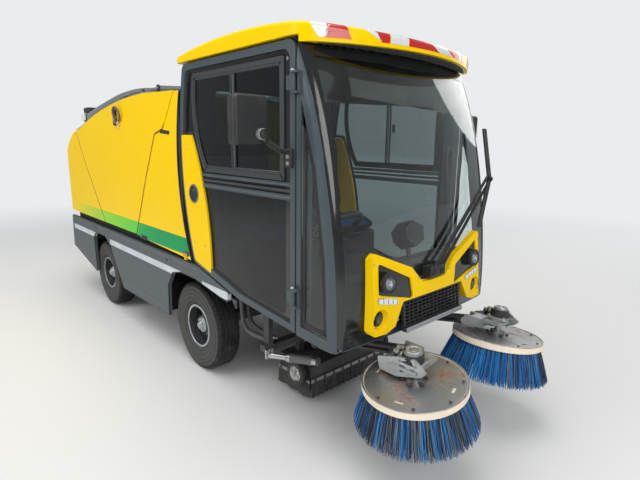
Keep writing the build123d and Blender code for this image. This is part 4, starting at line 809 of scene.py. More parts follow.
def here(x: float, y: float, z: float) -> np.ndarray:
    """A place given from the front axle in millimetres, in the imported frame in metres."""
    return np.array([x / 1000 + AXLE_X, y / 1000, z / 1000])


def step_between(low: float, high: float, value: np.ndarray) -> np.ndarray:
    """A smooth rise from 0 at one value to 1 at another: t squared times (3 - 2t)."""
    t = np.clip((value - low) / (high - low), 0, 1)
    return t * t * (3 - 2 * t)


def dense(points, count: int) -> np.ndarray:
    """A bent line with count - 1 even steps in each of its spans."""
    points = np.asarray(points, float)
    share = np.linspace(0, 1, count)[:-1, None]
    return np.vstack([start + (end - start) * share for start, end in zip(points, points[1:])]
                     + [points[-1:]])


def arc_through(start: tuple, middle: tuple, end: tuple, count: int) -> np.ndarray:
    """Points on the circle through three points: its centre solves two equal-distance equations."""
    a, b, c = (np.array(point, float) for point in (start, middle, end))
    matrix = 2 * np.array([b - a, c - a])
    centre = np.linalg.solve(matrix, np.array([b @ b - a @ a, c @ c - a @ a]))
    angles = [math.atan2(*(point - centre)[::-1]) for point in (a, b, c)]
    turn = (angles[2] - angles[0]) % (2 * math.pi)
    if (angles[1] - angles[0]) % (2 * math.pi) > turn:
        turn -= 2 * math.pi
    at = angles[0] + np.linspace(0, 1, count) * turn
    return centre + np.linalg.norm(a - centre) * np.stack([np.cos(at), np.sin(at)], axis=1)


def soft_corners(points, radius, steps: int = 6) -> np.ndarray:
    """An outline with curved corners: (1-t)^2 A + 2t(1-t) V + t^2 B, A and B a radius from corner V."""
    points = np.asarray(points, float)
    ahead = np.roll(points, -1, axis=0) - points
    behind = np.roll(points, 1, axis=0) - points
    far = np.linalg.norm(ahead, axis=1)
    near = np.linalg.norm(behind, axis=1)
    size = np.minimum(np.broadcast_to(radius, (len(points),)), 0.48 * np.minimum(far, near))[:, None]
    start, end = points + behind / near[:, None] * size, points + ahead / far[:, None] * size
    t = np.linspace(0, 1, steps)[None, :, None]
    curve = (1 - t) ** 2 * start[:, None] + 2 * t * (1 - t) * points[:, None] + t ** 2 * end[:, None]
    return curve.reshape(-1, 2)


def collar(outer, inner, depth: float, origin, u: tuple, v: tuple, chamfer: float = 0.001,
           worn: int = 0) -> Shape:
    """A flat frame between two outlines of as many points, deep along u x v, its front edges chamfered.

    Args:
        outer: outer outline (n by 2) in directions u and v.
        inner: inner outline (n by 2).
        depth: thickness along the normal.
        origin: where the outlines' zero lies, on the back face.
        u: first direction.
        v: second direction.
        chamfer: width of the front edges' chamfer.
        worn: which of the piece's finishes.

    Returns:
        The closed frame.
    """
    outer, inner = np.asarray(outer, float), np.asarray(inner, float)
    sign = math.copysign(1, depth)
    toward = inner - outer
    toward = toward / np.maximum(np.linalg.norm(toward, axis=1, keepdims=True), 1e-9) * chamfer
    layers = [(outer, 0.0), (outer, depth - sign * chamfer), (outer + toward, depth), (inner - toward, depth),
              (inner, depth - sign * chamfer), (inner, 0.0)]
    return grid(layered(layers, origin, u, v), wrap_u=True, wrap_v=True, worn=worn)


def dome(rows: int, columns: int, height: float) -> tuple[np.ndarray, np.ndarray, np.ndarray]:
    """A lens over -1 to 1 both ways: u, v, and height x (1 - u^4)^0.5 (1 - v^4)^0.5."""
    u, v = lattice(np.linspace(-1, 1, rows), np.linspace(-1, 1, columns))
    return u, v, height * (1 - np.abs(u) ** 4) ** 0.5 * (1 - np.abs(v) ** 4) ** 0.5


def shell(outer: np.ndarray, inner: np.ndarray, worn: int = 0) -> Shape:
    """A thin closed sheet between two grids of points that share their layout, joined all round the rim."""
    n, m, _ = outer.shape
    top, low = grid(outer), grid(inner)
    index = np.arange(n * m).reshape(n, m)
    rim = np.concatenate([index[0, :-1], index[:-1, -1], index[-1, :0:-1], index[:0:-1, 0]])
    ahead = np.roll(rim, -1)
    sides = np.stack([rim, ahead, ahead + n * m, rim + n * m], axis=1)
    faces = top.faces + [tuple(k + n * m for k in reversed(face)) for face in low.faces]
    return Shape(np.vstack([top.points, low.points]), faces + list(map(tuple, sides.tolist())), worn)


def joined(shapes: list[Shape], worn: int | None = None) -> Shape:
    """Several shapes as one, in one finish."""
    offsets = np.cumsum([0] + [len(shape.points) for shape in shapes]).tolist()
    faces = [tuple(k + start for k in face) for shape, start in zip(shapes, offsets) for face in shape.faces]
    return Shape(np.vstack([shape.points for shape in shapes]), faces, shapes[0].finish if worn is None
                 else worn)


class Skin:
    """A node's surface, on which fine pieces are laid."""

    def __init__(self, node: str) -> None:
        """Reads the node's mesh.

        Args:
            node: the node's name.
        """
        mesh = frame["nodes"][node].data
        self.tree = BVHTree.FromPolygons([vertex.co for vertex in mesh.vertices],
                                         [polygon.vertices for polygon in mesh.polygons])

    def under(self, starts: np.ndarray, directions: np.ndarray) -> np.ndarray:
        """Where a ray from each start meets the surface, or the nearest place on it.

        Args:
            starts: grid of places outside the surface (n by m by 3).
            directions: the rays' directions, as one vector or as a grid.

        Returns:
            The places on the surface, in the same grid.
        """
        directions = np.broadcast_to(directions, starts.shape)
        found = []
        for start, direction in zip(starts.reshape(-1, 3).tolist(), directions.reshape(-1, 3).tolist()):
            hit = self.tree.ray_cast(Vector(start), Vector(direction))[0]
            found.append(hit if hit is not None else self.tree.find_nearest(Vector(start))[0])
        return np.array([tuple(place) for place in found]).reshape(starts.shape)

    def sheet(self, starts: np.ndarray, directions: np.ndarray, thick: float = 0.001, worn: int = 0,
              sunk: float = 0.0004) -> Shape:
        """A thin closed sheet that lies on the surface below a grid of rays."""
        directions = np.broadcast_to(directions, starts.shape)
        directions = directions / np.linalg.norm(directions, axis=-1, keepdims=True)
        places = self.under(starts, directions)
        return shell(places - directions * thick, places + directions * sunk, worn)


def new_mesh(name: str, shape: Shape, worn: np.ndarray | None = None) -> bpy.types.Mesh:
    """A mesh of a shape, with the number of each face's finish."""
    mesh = bpy.data.meshes.new(name)
    mesh.from_pydata(shape.points.tolist(), [], shape.faces)
    if worn is not None:
        mesh.polygons.foreach_set("material_index", worn)
    return mesh


def tidy_mesh(mesh: bpy.types.Mesh, near: float, recalculate: bool = True) -> None:
    """Merges points that are nearer than a distance and points the faces outwards."""
    work = bmesh.new()
    work.from_mesh(mesh)
    bmesh.ops.remove_doubles(work, verts=work.verts, dist=near)
    if recalculate:
        bmesh.ops.recalc_face_normals(work, faces=work.faces)
    work.to_mesh(mesh)
    work.free()


def new_object(name: str, data: bpy.types.ID) -> bpy.types.Object:
    """An object in the scene."""
    thing = bpy.data.objects.new(name, data)
    bpy.context.scene.collection.objects.link(thing)
    return thing


def piece(name: str, shapes: list[Shape], finishes: list[str], body: str, slot: str,
          replaces: tuple[str, ...] = (), sharp: float = 35.0, recalculate: bool = True) -> bpy.types.Object:
    """Joins shapes into one object, points its faces outwards, dresses it and lets it ride on a body.

    Args:
        name: the piece's name.
        shapes: what it is made of.
        finishes: names of its finishes, in the order the shapes count them.
        body: the CAD body that it rides on.
        slot: not used.
        replaces: CAD nodes that it stands for.
        sharp: edges bent by more degrees than this stay sharp.
        recalculate: points faces outwards, for closed shapes.

    Returns:
        The object.
    """
    whole = joined(shapes)
    worn = np.concatenate([np.full(len(shape.faces), shape.finish, np.int32) for shape in shapes])
    mesh = new_mesh(name, whole, worn)
    tidy_mesh(mesh, 1e-6, recalculate)
    mesh.polygons.foreach_set("use_smooth", np.ones(len(mesh.polygons), bool))
    mesh.set_sharp_from_angle(angle=math.radians(sharp))
    for label in finishes:
        mesh.materials.append(finish(label))
    thing = new_object(name, mesh)
    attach(thing, body)
    if replaces:
        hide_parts(*replaces)
    log.info("%s: %d triangles on %s", name, sum(len(face) - 2 for face in whole.faces), body)
    return thing


def pair(name: str, shapes: list[Shape], finishes: list[str], body: str, slot: str, replaces: str = "",
         **options) -> None:
    """Makes a piece for the left and its mirror image for the right.

    Args:
        name: the pieces' name, to which the side is added.
        shapes: the left-hand shapes.
        finishes: names of the finishes.
        body: the CAD body, with {} where the side's name goes.
        slot: passed on to piece, which does not use it.
        replaces: the CAD node that it stands for, with {} where the side's name goes.
        options: further settings of piece.
    """
    for side in Side:
        replaced = (replaces.format(side.word),) if replaces else ()
        piece(f"{name}_{side.word}", on_side(shapes, side), finishes, body.format(side.word), slot, replaced,
              **options)


class NodeFinishes:
    """Gives each carried-over CAD node its finish and smooth shading below a crease angle."""

    CREASE = math.radians(24)
    # Which nodes wear a finish: a star stands for the rest of the name.
    WORN: dict[str, str] = {
        "frame paint": "chassis_frame suction_nozzle brush_post_* brush_arm_*",
        "cast iron": "front_axle rear_axle engine_block knuckle_*",
        "banded paint": "engine_cover hopper_panels",
        "yellow paint": "roof_shell front_fascia hopper_door door_panel_*",
        "door frame paint": "cab_frame door_frame_*", "skirt paint": "side_skirts", "tub paint": "hopper_tub",
        "black plastic": "grille wiper steering_wheel mirror_*", "gloss black": "front_lamps",
        "dark trim": "cab_floor dashboard", "lining grey": "roof_lining", "seat cloth": "seats",
        "screen glass": "cab_glazing", "door glass": "door_glass_*", "red lens": "rear_lamps",
        "black rubber": "hoses nozzle_wheel_*", "tyre rubber": "tyre_*", "wheel paint": "rim_*",
        "bright steel": "brush_struts", "cast aluminium": "brush_head_*", "disc steel": "brush_plate_*",
        "ring wood": "brush_ring_*", "blue bristle": "bristles_*"}

    def shading(self) -> bpy.types.NodeTree:
        """A geometry group that joins loose triangles and smooths all but the sharp edges."""
        group, tree, entry, leave = new_group("smooth below the crease", {"Geometry": None},
                                              {"Geometry": None}, "GeometryNodeTree")
        merge = tree.add("GeometryNodeMergeByDistance", {"Geometry": entry[0], "Distance": 2e-5})
        smooth = tree.add("GeometryNodeSetShadeSmooth", {"Geometry": merge.outputs[0]}, domain="FACE")
        angle = tree.add("GeometryNodeInputMeshEdgeAngle").outputs["Unsigned Angle"]
        sharp = tree.add("FunctionNodeCompare", {0: angle, 1: self.CREASE},
                         operation="GREATER_THAN").outputs[0]
        creased = tree.add("GeometryNodeSetShadeSmooth", {
            "Geometry": smooth.outputs[0], "Selection": sharp, "Shade Smooth": False}, domain="EDGE")
        tree.feed(leave, {0: creased.outputs[0]})
        return group

    def dress(self) -> None:
        """Puts the finishes and the shading on the nodes."""
        shading = self.shading()
        worn = {name: label for label, patterns in self.WORN.items() for pattern in patterns.split()
                for name in fnmatch.filter(frame["nodes"], pattern)}
        for name, thing in frame["nodes"].items():
            thing.data.materials.clear()
            thing.data.materials.append(finish(worn[name]))
            thing.modifiers.new("shading", "NODES").node_group = shading
        log.info("dressed %d nodes", len(frame["nodes"]))


@dataclass
class RoadTyre:
    """A road tyre: zigzag grooves and slotted shoulders in a rounded section, and rings on its walls."""

    radius: float = 0.297
    centre_y: float = 0.516
    around: int = 240
    cut: float = 0.008
    half_profile: tuple[tuple[float, float], ...] = (
        (0.1402, 0.0600), (0.1402, 0.0616), (0.1512, 0.0616), (0.1560, 0.0690), (0.1640, 0.0765),
        (0.1760, 0.0828),
        (0.1920, 0.0865), (0.2120, 0.0878), (0.2320, 0.0872), (0.2500, 0.0850), (0.2660, 0.0815),
        (0.2790, 0.0770), (0.2890, 0.0712), (0.2942, 0.0648), (0.2962, 0.0570))

    def surface(self) -> Shape:
        """The tyre about the Y axis: radius = profile radius - groove depth, over angle and section."""
        half = smooth_path(self.half_profile, 30)
        tread_y = np.linspace(0.0535, -0.0535, 46)
        tread = np.stack([self.radius - 0.0006 - 0.25 * tread_y ** 2, tread_y], axis=1)
        section = np.vstack([half, tread, half[::-1] * np.array([1, -1])])
        radius, along = section.T
        angle = circle(self.around)[:, None]
        radius, along = radius[None, :], along[None, :]
        zigzag = 0.0035 * (2 / math.pi) * np.arcsin(np.sin(20 * angle) * 0.98)
        offset = np.abs(along - zigzag)
        grooves = sum(step_between(0.0058, 0.0030, np.abs(offset - place)) for place in (0.0155, 0.0440))
        wave = np.abs(np.sin(30 * angle + np.where(along > 0, 0.0, 0.8)))
        slots = step_between(0.42, 0.22, wave) * step_between(0.046, 0.054, np.abs(along))
        slots = slots * step_between(0.262, 0.285, radius)
        sipes = step_between(0.30, 0.10, np.abs(np.sin(30 * angle + 90 * along))) * (np.abs(along) < 0.036)
        depth = np.clip(np.maximum(grooves, 0.8 * slots), 0, 1) * (radius > 0.262)
        depth = np.maximum(depth, 0.45 * sipes * (radius > 0.285))
        rings = sum(height * np.exp(-((radius - place) / width) ** 2) for place, height, width in (
            (0.170, 0.0018, 0.0028), (0.200, -0.0017, 0.0026), (0.222, 0.0011, 0.0020),
            (0.243, 0.0015, 0.0026), (0.262, -0.0012, 0.0020)))
        reach = np.clip(np.abs(along) + rings * (np.abs(along) > 0.07), 0, 0.0879)
        along = np.sign(along) * reach + 0 * angle
        radius = np.minimum(radius - self.cut * depth, self.radius - 0.0003)
        points = np.stack([radius * np.cos(angle), along, self.radius + radius * np.sin(angle)], axis=-1)
        return grid(points, wrap_u=True, wrap_v=True)

    def build(self) -> None:
        """Makes the four tyres from one surface."""
        tyre = self.surface()
        for end, x in (("front", AXLE_X), ("rear", REAR_AXLE_X)):
            pair(f"road_tyre_{end}", [tyre.moved(x, self.centre_y)], ["tyre rubber"], end + "_wheel_{}",
                 "tyre", f"tyre_{end}_{{}}", sharp=32)


@dataclass
class WheelFittings:
    """Nuts, rolled edges, hub bolts and valves on the rims."""

    centre_y: float = 0.516
    axle_z: float = 0.297
    nut_circle: float = 0.068
    lip: float = 0.1458

    def shapes(self, end: str) -> list[Shape]:
        """The fittings of a left wheel about its axle, in the order nuts, lips, hub bolts, valve."""
        made = []
        for angle in circle(5, 0.31):
            place = (self.nut_circle * math.cos(angle), 0.0072, self.nut_circle * math.sin(angle))
            made.append(hexagon(place, Y, 0.0115, 0.016, 0))
            made.append(lathe([(0.0055, 0), (0.0055, 0.022), (0.004, 0.024), (0, 0.024)], place, Y, 10))
        turn = circle(10)
        for place, size in ((0.0660, 0.0034), (0.0598, 0.0022)):
            profile = list(zip(self.lip - 0.003 + size * np.cos(turn), place + size * np.sin(turn)))
            made.append(lathe(profile, (0, 0, 0), Y, 96, loop=True, worn=1))
        if end == "front":
            for angle in circle(8, 0.2):
                place = (0.0445 * math.cos(angle), 0.0435, 0.0445 * math.sin(angle))
                made.append(hexagon(place, (math.cos(angle) * 0.6, 0.8, math.sin(angle) * 0.6), 0.0055, 0.006,
                                    2))
            made.append(lathe([(0.0302, 0.052), (0.0335, 0.0505), (0.0335, 0.0545), (0.0302, 0.0565)],
                              (0, 0, 0), Y, 48, loop=True, worn=2))
        else:
            made.append(lathe([(0.0, 0.0665), (0.020, 0.0662), (0.0235, 0.064), (0.027, 0.0600)], (0, 0, 0),
                              Y, 40, worn=2))
        made.append(lathe([(0.0042, 0.010), (0.0042, 0.036), (0.0050, 0.037), (0.0050, 0.046), (0, 0.047)],
                          (0.1175, 0, 0.02), (-0.25, 1, 0), 10, worn=3))
        return made

    def build(self) -> None:
        """Makes the fittings of the four wheels."""
        for end, x in (("front", AXLE_X), ("rear", REAR_AXLE_X)):
            shapes = [shape.moved(x, self.centre_y, self.axle_z) for shape in self.shapes(end)]
            pair(f"wheel_fittings_{end}", shapes, ["screw zinc", "rim silver", "cast aluminium",
                                                   "black rubber"],
                 end + "_wheel_{}", "rim_silver")


@dataclass
class BrushDressing:
    """Strands, disc bolts, motor sleeve and pipe fittings of the tilted side brushes."""

    centre: Triple = (1598, 382, 490)
    tilt: float = math.radians(7.6)
    rows: tuple[tuple[float, ...], ...] = (
        # tufts, strands in a tuft, root radius, tip radius, root spread, tip spread
        (54, 46, 0.213, 0.2690, 0.0110, 0.0190),
        (34, 26, 0.177, 0.2190, 0.0120, 0.0220))
    root_z: float = -0.029
    tip_z: float = -0.203
    thickness: float = 0.00125

    def placed(self, shapes: list[Shape]) -> list[Shape]:
        """Shapes drawn about the brush's own axis, tilted and put in place on the left."""
        c, s = math.cos(self.tilt), math.sin(self.tilt)
        matrix = np.array([[1, 0, 0], [0, c, s], [0, -s, c]])
        return [shape.turned(matrix).moved(*here(*self.centre)) for shape in shapes]

    def strands(self) -> list[Shape]:
        """Every strand as a thin five-sided bar from root to flared tip, sorted into four colours.

        A strand's middle line is root + (tip - root) t + bend t (1 - t), and its bar narrows to the tip.
        """
        roots, tips, colours = [], [], []
        for tufts, count, root_radius, tip_radius, root_spread, tip_spread in self.rows:
            angle = np.repeat(2 * math.pi * np.arange(tufts) / tufts, count)
            total = len(angle)
            away = RNG.uniform(0, 1, total) ** 0.5
            around = RNG.uniform(0, 2 * math.pi, total)
            lean = RNG.normal(0, 0.35, (total, 2))
            radial = np.stack([np.cos(angle), np.sin(angle)], axis=1)
            across = np.stack([-np.sin(angle), np.cos(angle)], axis=1)
            start = radial * (root_radius + root_spread * away * np.cos(around))[:, None]
            start = start + across * (root_spread * away * np.sin(around))[:, None]
            end = radial * (tip_radius + tip_spread * np.clip(away * np.cos(around) + 0.4 * lean[:, 0], -1.2,
                                                              1.0))[:, None]
            end = end + across * (tip_spread * (away * np.sin(around) + 0.6 * lean[:, 1]))[:, None]
            low = self.tip_z + RNG.uniform(0, 0.016, total)
            roots.append(np.column_stack([start, np.full(total, self.root_z)]))
            tips.append(np.column_stack([end, low]))
            tuft_tone = np.repeat(RNG.uniform(0, 1, tufts), count)
            facing = np.cos(angle - math.radians(62))
            share = np.clip(0.66 - 0.28 * facing, 0.2, 0.85)
            pick = RNG.uniform(0, 1, total) * 0.75 + 0.25 * tuft_tone
            colours.append(np.where(pick < share, np.where(RNG.uniform(0, 1, total) < 0.5, 0, 1),
                                    np.where(RNG.uniform(0, 1, total) < 0.62, 2, 3)))
        root, tip, colour = np.vstack(roots), np.vstack(tips), np.concatenate(colours)
        reach = np.linalg.norm(tip[:, :2], axis=1)
        tip[:, :2] *= (np.minimum(reach, 0.2825) / reach)[:, None]
        t = np.array([0.0, 0.35, 0.7, 1.0])[None, :, None]
        bend = RNG.normal(0, 0.006, (len(root), 1, 3)) * np.array([1, 1, 0])
        line = root[:, None] + (tip - root)[:, None] * t + bend * t * (1 - t)
        side = circle(5)
        size = self.thickness * np.array([1.0, 1.0, 0.9, 0.55])
        ring = np.stack([np.cos(side), np.sin(side), np.zeros(5)], axis=1)
        points = line[:, :, None, :] + size[None, :, None, None] * ring[None, None]
        shapes = []
        level, corner = lattice(np.arange(3), np.arange(5))
        following = (corner + 1) % 5
        band = np.stack([level * 5 + corner, level * 5 + following, (level + 1) * 5 + following,
                         (level + 1) * 5 + corner], axis=-1).reshape(-1, 4)
        for number in range(4):
            chosen = points[colour == number]
            start = 20 * np.arange(len(chosen))
            quads = (start[:, None, None] + band[None]).reshape(-1, 4)
            ends = np.vstack([start[:, None] + np.arange(4, -1, -1), start[:, None] + np.arange(15, 20)])
            faces = list(map(tuple, quads.tolist())) + list(map(tuple, ends.tolist()))
            shapes.append(Shape(chosen.reshape(-1, 3), faces, number))
        return shapes

    def disc_bolts(self) -> list[Shape]:
        """Hub bolts, screws round the rim and the rim's rolled edge on the disc."""
        made = []
        for angle in circle(6, 0.3):
            made.append(hexagon((0.052 * math.cos(angle), 0.052 * math.sin(angle), 0.003), Z, 0.008, 0.008,
                                0))
        for angle in circle(8, 0.18):
            made.append(screw((0.208 * math.cos(angle), 0.208 * math.sin(angle), 0.003), Z, 0.0065, 0))
        turn = circle(8)
        rim = list(zip(0.231 + 0.0045 * np.cos(turn), 0.0032 + 0.0028 * np.sin(turn)))
        made.append(lathe(rim, (0, 0, 0), Z, 120, loop=True, worn=1))
        return made

    def motor(self) -> list[Shape]:
        """The motor's ribbed sleeve, square flange, bolts, and two pipe elbows with their stub pipes."""
        base = 0.088
        sleeve = [(0.0423, base), (0.0445, base + 0.001)]
        for k in range(4):
            low = base + 0.006 + 0.010 * k
            sleeve += [(0.0445, low), (0.0462, low + 0.001), (0.0462, low + 0.004), (0.0445, low + 0.005)]
        sleeve += [(0.0445, base + 0.049), (0.0423, base + 0.051)]
        made = [lathe(sleeve, (0, 0, 0), Z, 56, loop=True, worn=0)]
        square = soft_corners([(-0.052, -0.052), (0.052, -0.052), (0.052, 0.052), (-0.052, 0.052)], 0.016)
        hole = 0.0425 * np.stack([np.cos(circle(len(square), -2.356)), np.sin(circle(len(square), -2.356))],
                                 axis=1)
        made.append(collar(square, hole, 0.011, (0, 0, base), X, Y, 0.0015, 1))
        for sx in (-1, 1):
            for sy in (-1, 1):
                made.append(hexagon((0.041 * sx, 0.041 * sy, base + 0.011), Z, 0.0075, 0.008, 2))
        made.append(lathe([(0.0205, 0.150), (0.0235, 0.1535), (0.0335, 0.1535), (0.0352, 0.151),
                           (0.0352, 0.146), (0.0205, 0.146)], (0, 0, 0), Z, 48, loop=True, worn=1))
        made.append(hexagon((0, 0, 0.142), Z, 0.015, 0.007, 2))
        for start, along in ((0.020, 0.030), (-0.022, 0.034)):
            root = (-0.040, start, base + 0.034)
            made.append(hexagon(root, (-1, 0, 0), 0.0120, 0.014, 2))
            path = smooth_path([(-0.052, start, base + 0.034), (-0.068, start, base + 0.034),
                                (-0.080, start * 0.9 - 0.002, base + 0.026),
                                (-0.090, along - 0.012, base + 0.008),
                                (-0.094, along - 0.016, base - 0.006)], 18)
            made.append(tube(path, 0.0075, 12, worn=3))
            made.append(lathe([(0.0105, 0), (0.0105, 0.016), (0.0085, 0.019), (0.0075, 0.019)], path[3],
                              (-1, 0, 0), 12, worn=2))
        return made

    def build(self) -> None:
        """Makes both brushes' dressings."""
        pair("strands", self.placed(self.strands()),
             ["blue bristle", "bright bristle", "black bristle", "grey bristle"], "brush_rotor_{}", "bristle",
             "bristles_{}", sharp=60, recalculate=False)
        pair("disc_bolts", self.placed(self.disc_bolts()), ["cast iron", "disc steel"], "brush_rotor_{}",
             "iron")
        pair("motor_dressing", self.placed(self.motor()),
             ["black plastic", "cast aluminium", "screw zinc", "black rubber"], "brush_motor_{}", "cast")


@dataclass
class BrowMarkings:
    """Red and white reflective patches wrapped over the brow's front edge."""

    centre_x: float = BROW_X
    radius: float = 1.1327
    low_z: float = 1.9385
    top_z: float = 1.985
    patches: tuple[tuple[int, float, float, float, float], ...] = (
        # finish, then the sideways place of each corner: low near, low far, top near, top far
        (1, -0.588, -0.572, -0.640, -0.500), (0, -0.570, -0.462, -0.556, -0.496),
        (1, -0.312, -0.318, -0.468, -0.384),
        (0, -0.325, -0.286, -0.380, -0.284), (1, -0.282, -0.182, -0.280, -0.181),
        (0, -0.178, 0.045, -0.176, -0.096),
        (1, 0.050, 0.186, -0.090, 0.022), (0, 0.190, 0.284, 0.028, 0.180), (1, 0.290, 0.318, 0.186, 0.284),
        (0, 0.325, 0.380, 0.290, 0.376), (1, 0.572, 0.588, 0.500, 0.640), (0, 0.462, 0.570, 0.496, 0.556))

    def build(self) -> None:
        """Lays each patch on the roof shell by rays aimed inwards round the brow's edge."""
        skin = Skin("roof_shell")
        shapes = []
        for worn, low_near, low_far, top_near, top_far in self.patches:
            u, v = lattice(np.linspace(0, 1, 17), np.linspace(0, 1, 11))
            y = (low_near + (low_far - low_near) * u) * (1 - v) + (top_near + (top_far - top_near) * u) * v
            turn = np.arcsin(np.clip(y / self.radius, -1, 1))
            climb = np.radians(78) * v ** 1.5
            aim = np.stack([self.centre_x + (self.radius - 0.05) * np.cos(turn),
                            (self.radius - 0.05) * np.sin(turn),
                            self.low_z + (self.top_z - self.low_z) * 0.55 * v], axis=-1)
            out = np.stack([np.cos(climb) * np.cos(turn), np.cos(climb) * np.sin(turn), np.sin(climb)],
                           axis=-1)
            shapes.append(skin.sheet(aim + 0.4 * out, -out, 0.0012, worn))
        piece("brow_reflectors", shapes, ["red reflector", "white reflector"], "chassis", "lens_red",
              sharp=50)


@dataclass
class ScreenTrim:
    """The windscreen's black border, the seals of the quarter and rear windows, and the wiper's fittings."""

    heights: tuple[float, ...] = (0.640, 1.000, 1.400, 1.780, 1.945)
    corner_x: tuple[float, ...] = (1.3635, 1.345, 1.278, 1.166, 1.086)

    def side_border(self, skin: Skin) -> Shape:
        """A strip on the left edge of the screen, from the pillar round the corner to its front face."""
        z = np.linspace(0.622, 1.944, 46)
        corner = np.interp(z, self.heights, self.corner_x) + AXLE_X
        turn = np.radians(np.linspace(96, 14, 15))
        z_grid, turn_grid = lattice(z, turn)
        middle = np.stack([corner[:, None] - 0.004 - 0.060 * np.sin(turn_grid), np.full_like(z_grid, 0.585),
                           z_grid],
                          axis=-1)
        out = np.stack([np.cos(turn_grid), np.sin(turn_grid), 0 * turn_grid], axis=-1)
        return skin.sheet(middle + 0.3 * out, -out, 0.0011)

    def level_border(self, skin: Skin, low: float, high: float) -> Shape:
        """A strip across the screen's front between two heights."""
        y, z = lattice(np.linspace(-0.60, 0.60, 49), np.linspace(low, high, 7))
        starts = np.stack([np.full_like(y, AXLE_X + 1.8), y, z], axis=-1)
        return skin.sheet(starts, np.array([-1.0, 0, 0]), 0.0010)

    def brow_lining(self) -> Shape:
        """A dark sheet below the brow, from its lip to the screen, each place found by a ray aimed up."""
        turn, reach = lattice(np.radians(np.linspace(-31.5, 31.5, 81)), np.linspace(0.900, 1.112, 25))
        starts = np.stack([BROW_X + reach * np.cos(turn), reach * np.sin(turn), np.full_like(turn, 1.90)],
                          axis=-1)
        return Skin("roof_shell").sheet(starts, np.array([0.0, 0.0, 1.0]), 0.0030, sunk=-0.0008)

    def quarter_seal(self) -> Shape:
        """The rubber frame round the left quarter window."""
        corner = np.array([[1125 + 6, 668], [1365 - 64, 660], [1345 - 66, 1000], [1278 - 66, 1400],
                           [1131, 1672]], float)
        outer = soft_corners(corner / 1000 + np.array([AXLE_X, 0]), 0.012, 5)
        inner = shrink(outer, 0.020)
        return collar(outer, inner, -0.004, (0, 0.6352, 0), X, Z, 0.001, 1)

    def rear_seal(self) -> Shape:
        """The rubber frame round the rear window."""
        outline = rounded(0.868, 0.588, 0.066, 7)
        return collar(outline, shrink(outline, 0.024), -0.006, (AXLE_X + 0.0135, 0, 1.55), Y, Z,
                      0.0015, 1)

    def wiper_fittings(self) -> list[Shape]:
        """The rubber blade, its carrier, the pivot caps and the hose along the arm."""
        low, mid, high = here(1401, 462, 1052), here(1393, 549, 1320), here(1313, 594, 1598)
        line = np.vstack([low + (mid - low) * np.linspace(0, 1, 12)[:, None],
                          (mid + (high - mid) * np.linspace(0, 1, 14)[:, None])[1:]])
        section = np.array([[-0.006, -0.004], [0.006, -0.004], [0.007, 0.002], [0.002, 0.008],
                            [-0.002, 0.008], [-0.007, 0.002]])
        made = [ribbon(line, section, (1, 0, 0.2), worn=2)]
        for place, radius in ((here(1430, -30, 886), 0.020), (here(1430, 40, 881), 0.017),
                              (here(1394, 545, 1320), 0.014)):
            profile = [(radius, -0.004), (radius, 0.008), (radius * 0.85, 0.011), (radius * 0.4, 0.012),
                       (radius * 0.35, 0.016), (0, 0.016)]
            made.append(lathe(profile, place, (1, 0, 0.1), 28, worn=2))
        start, end = here(1436, -6, 905), here(1400, 400, 1218)
        path = smooth_path([start, start + (end - start) * 0.4 + np.array([0.004, 0, 0.006]), end], 14)
        return made + [tube(path, 0.003, 8, worn=2)]

    def build(self) -> None:
        """Makes the borders and seals on both sides."""
        skin = Skin("cab_glazing")
        side = self.side_border(skin)
        seal = self.quarter_seal()
        shapes = [side, side.mirrored(), self.level_border(skin, 1.868, 1.946),
                  self.level_border(skin, 0.614, 0.660),
                  seal, seal.mirrored(), self.rear_seal(), self.brow_lining().worn(2)]
        piece("screen_border", shapes, ["gloss black", "black rubber", "dark trim"], "chassis",
              "black_plastic", sharp=40)
        piece("wiper_fittings", self.wiper_fittings(), ["black plastic", "gloss black", "black rubber"],
              "chassis", "dark_paint")


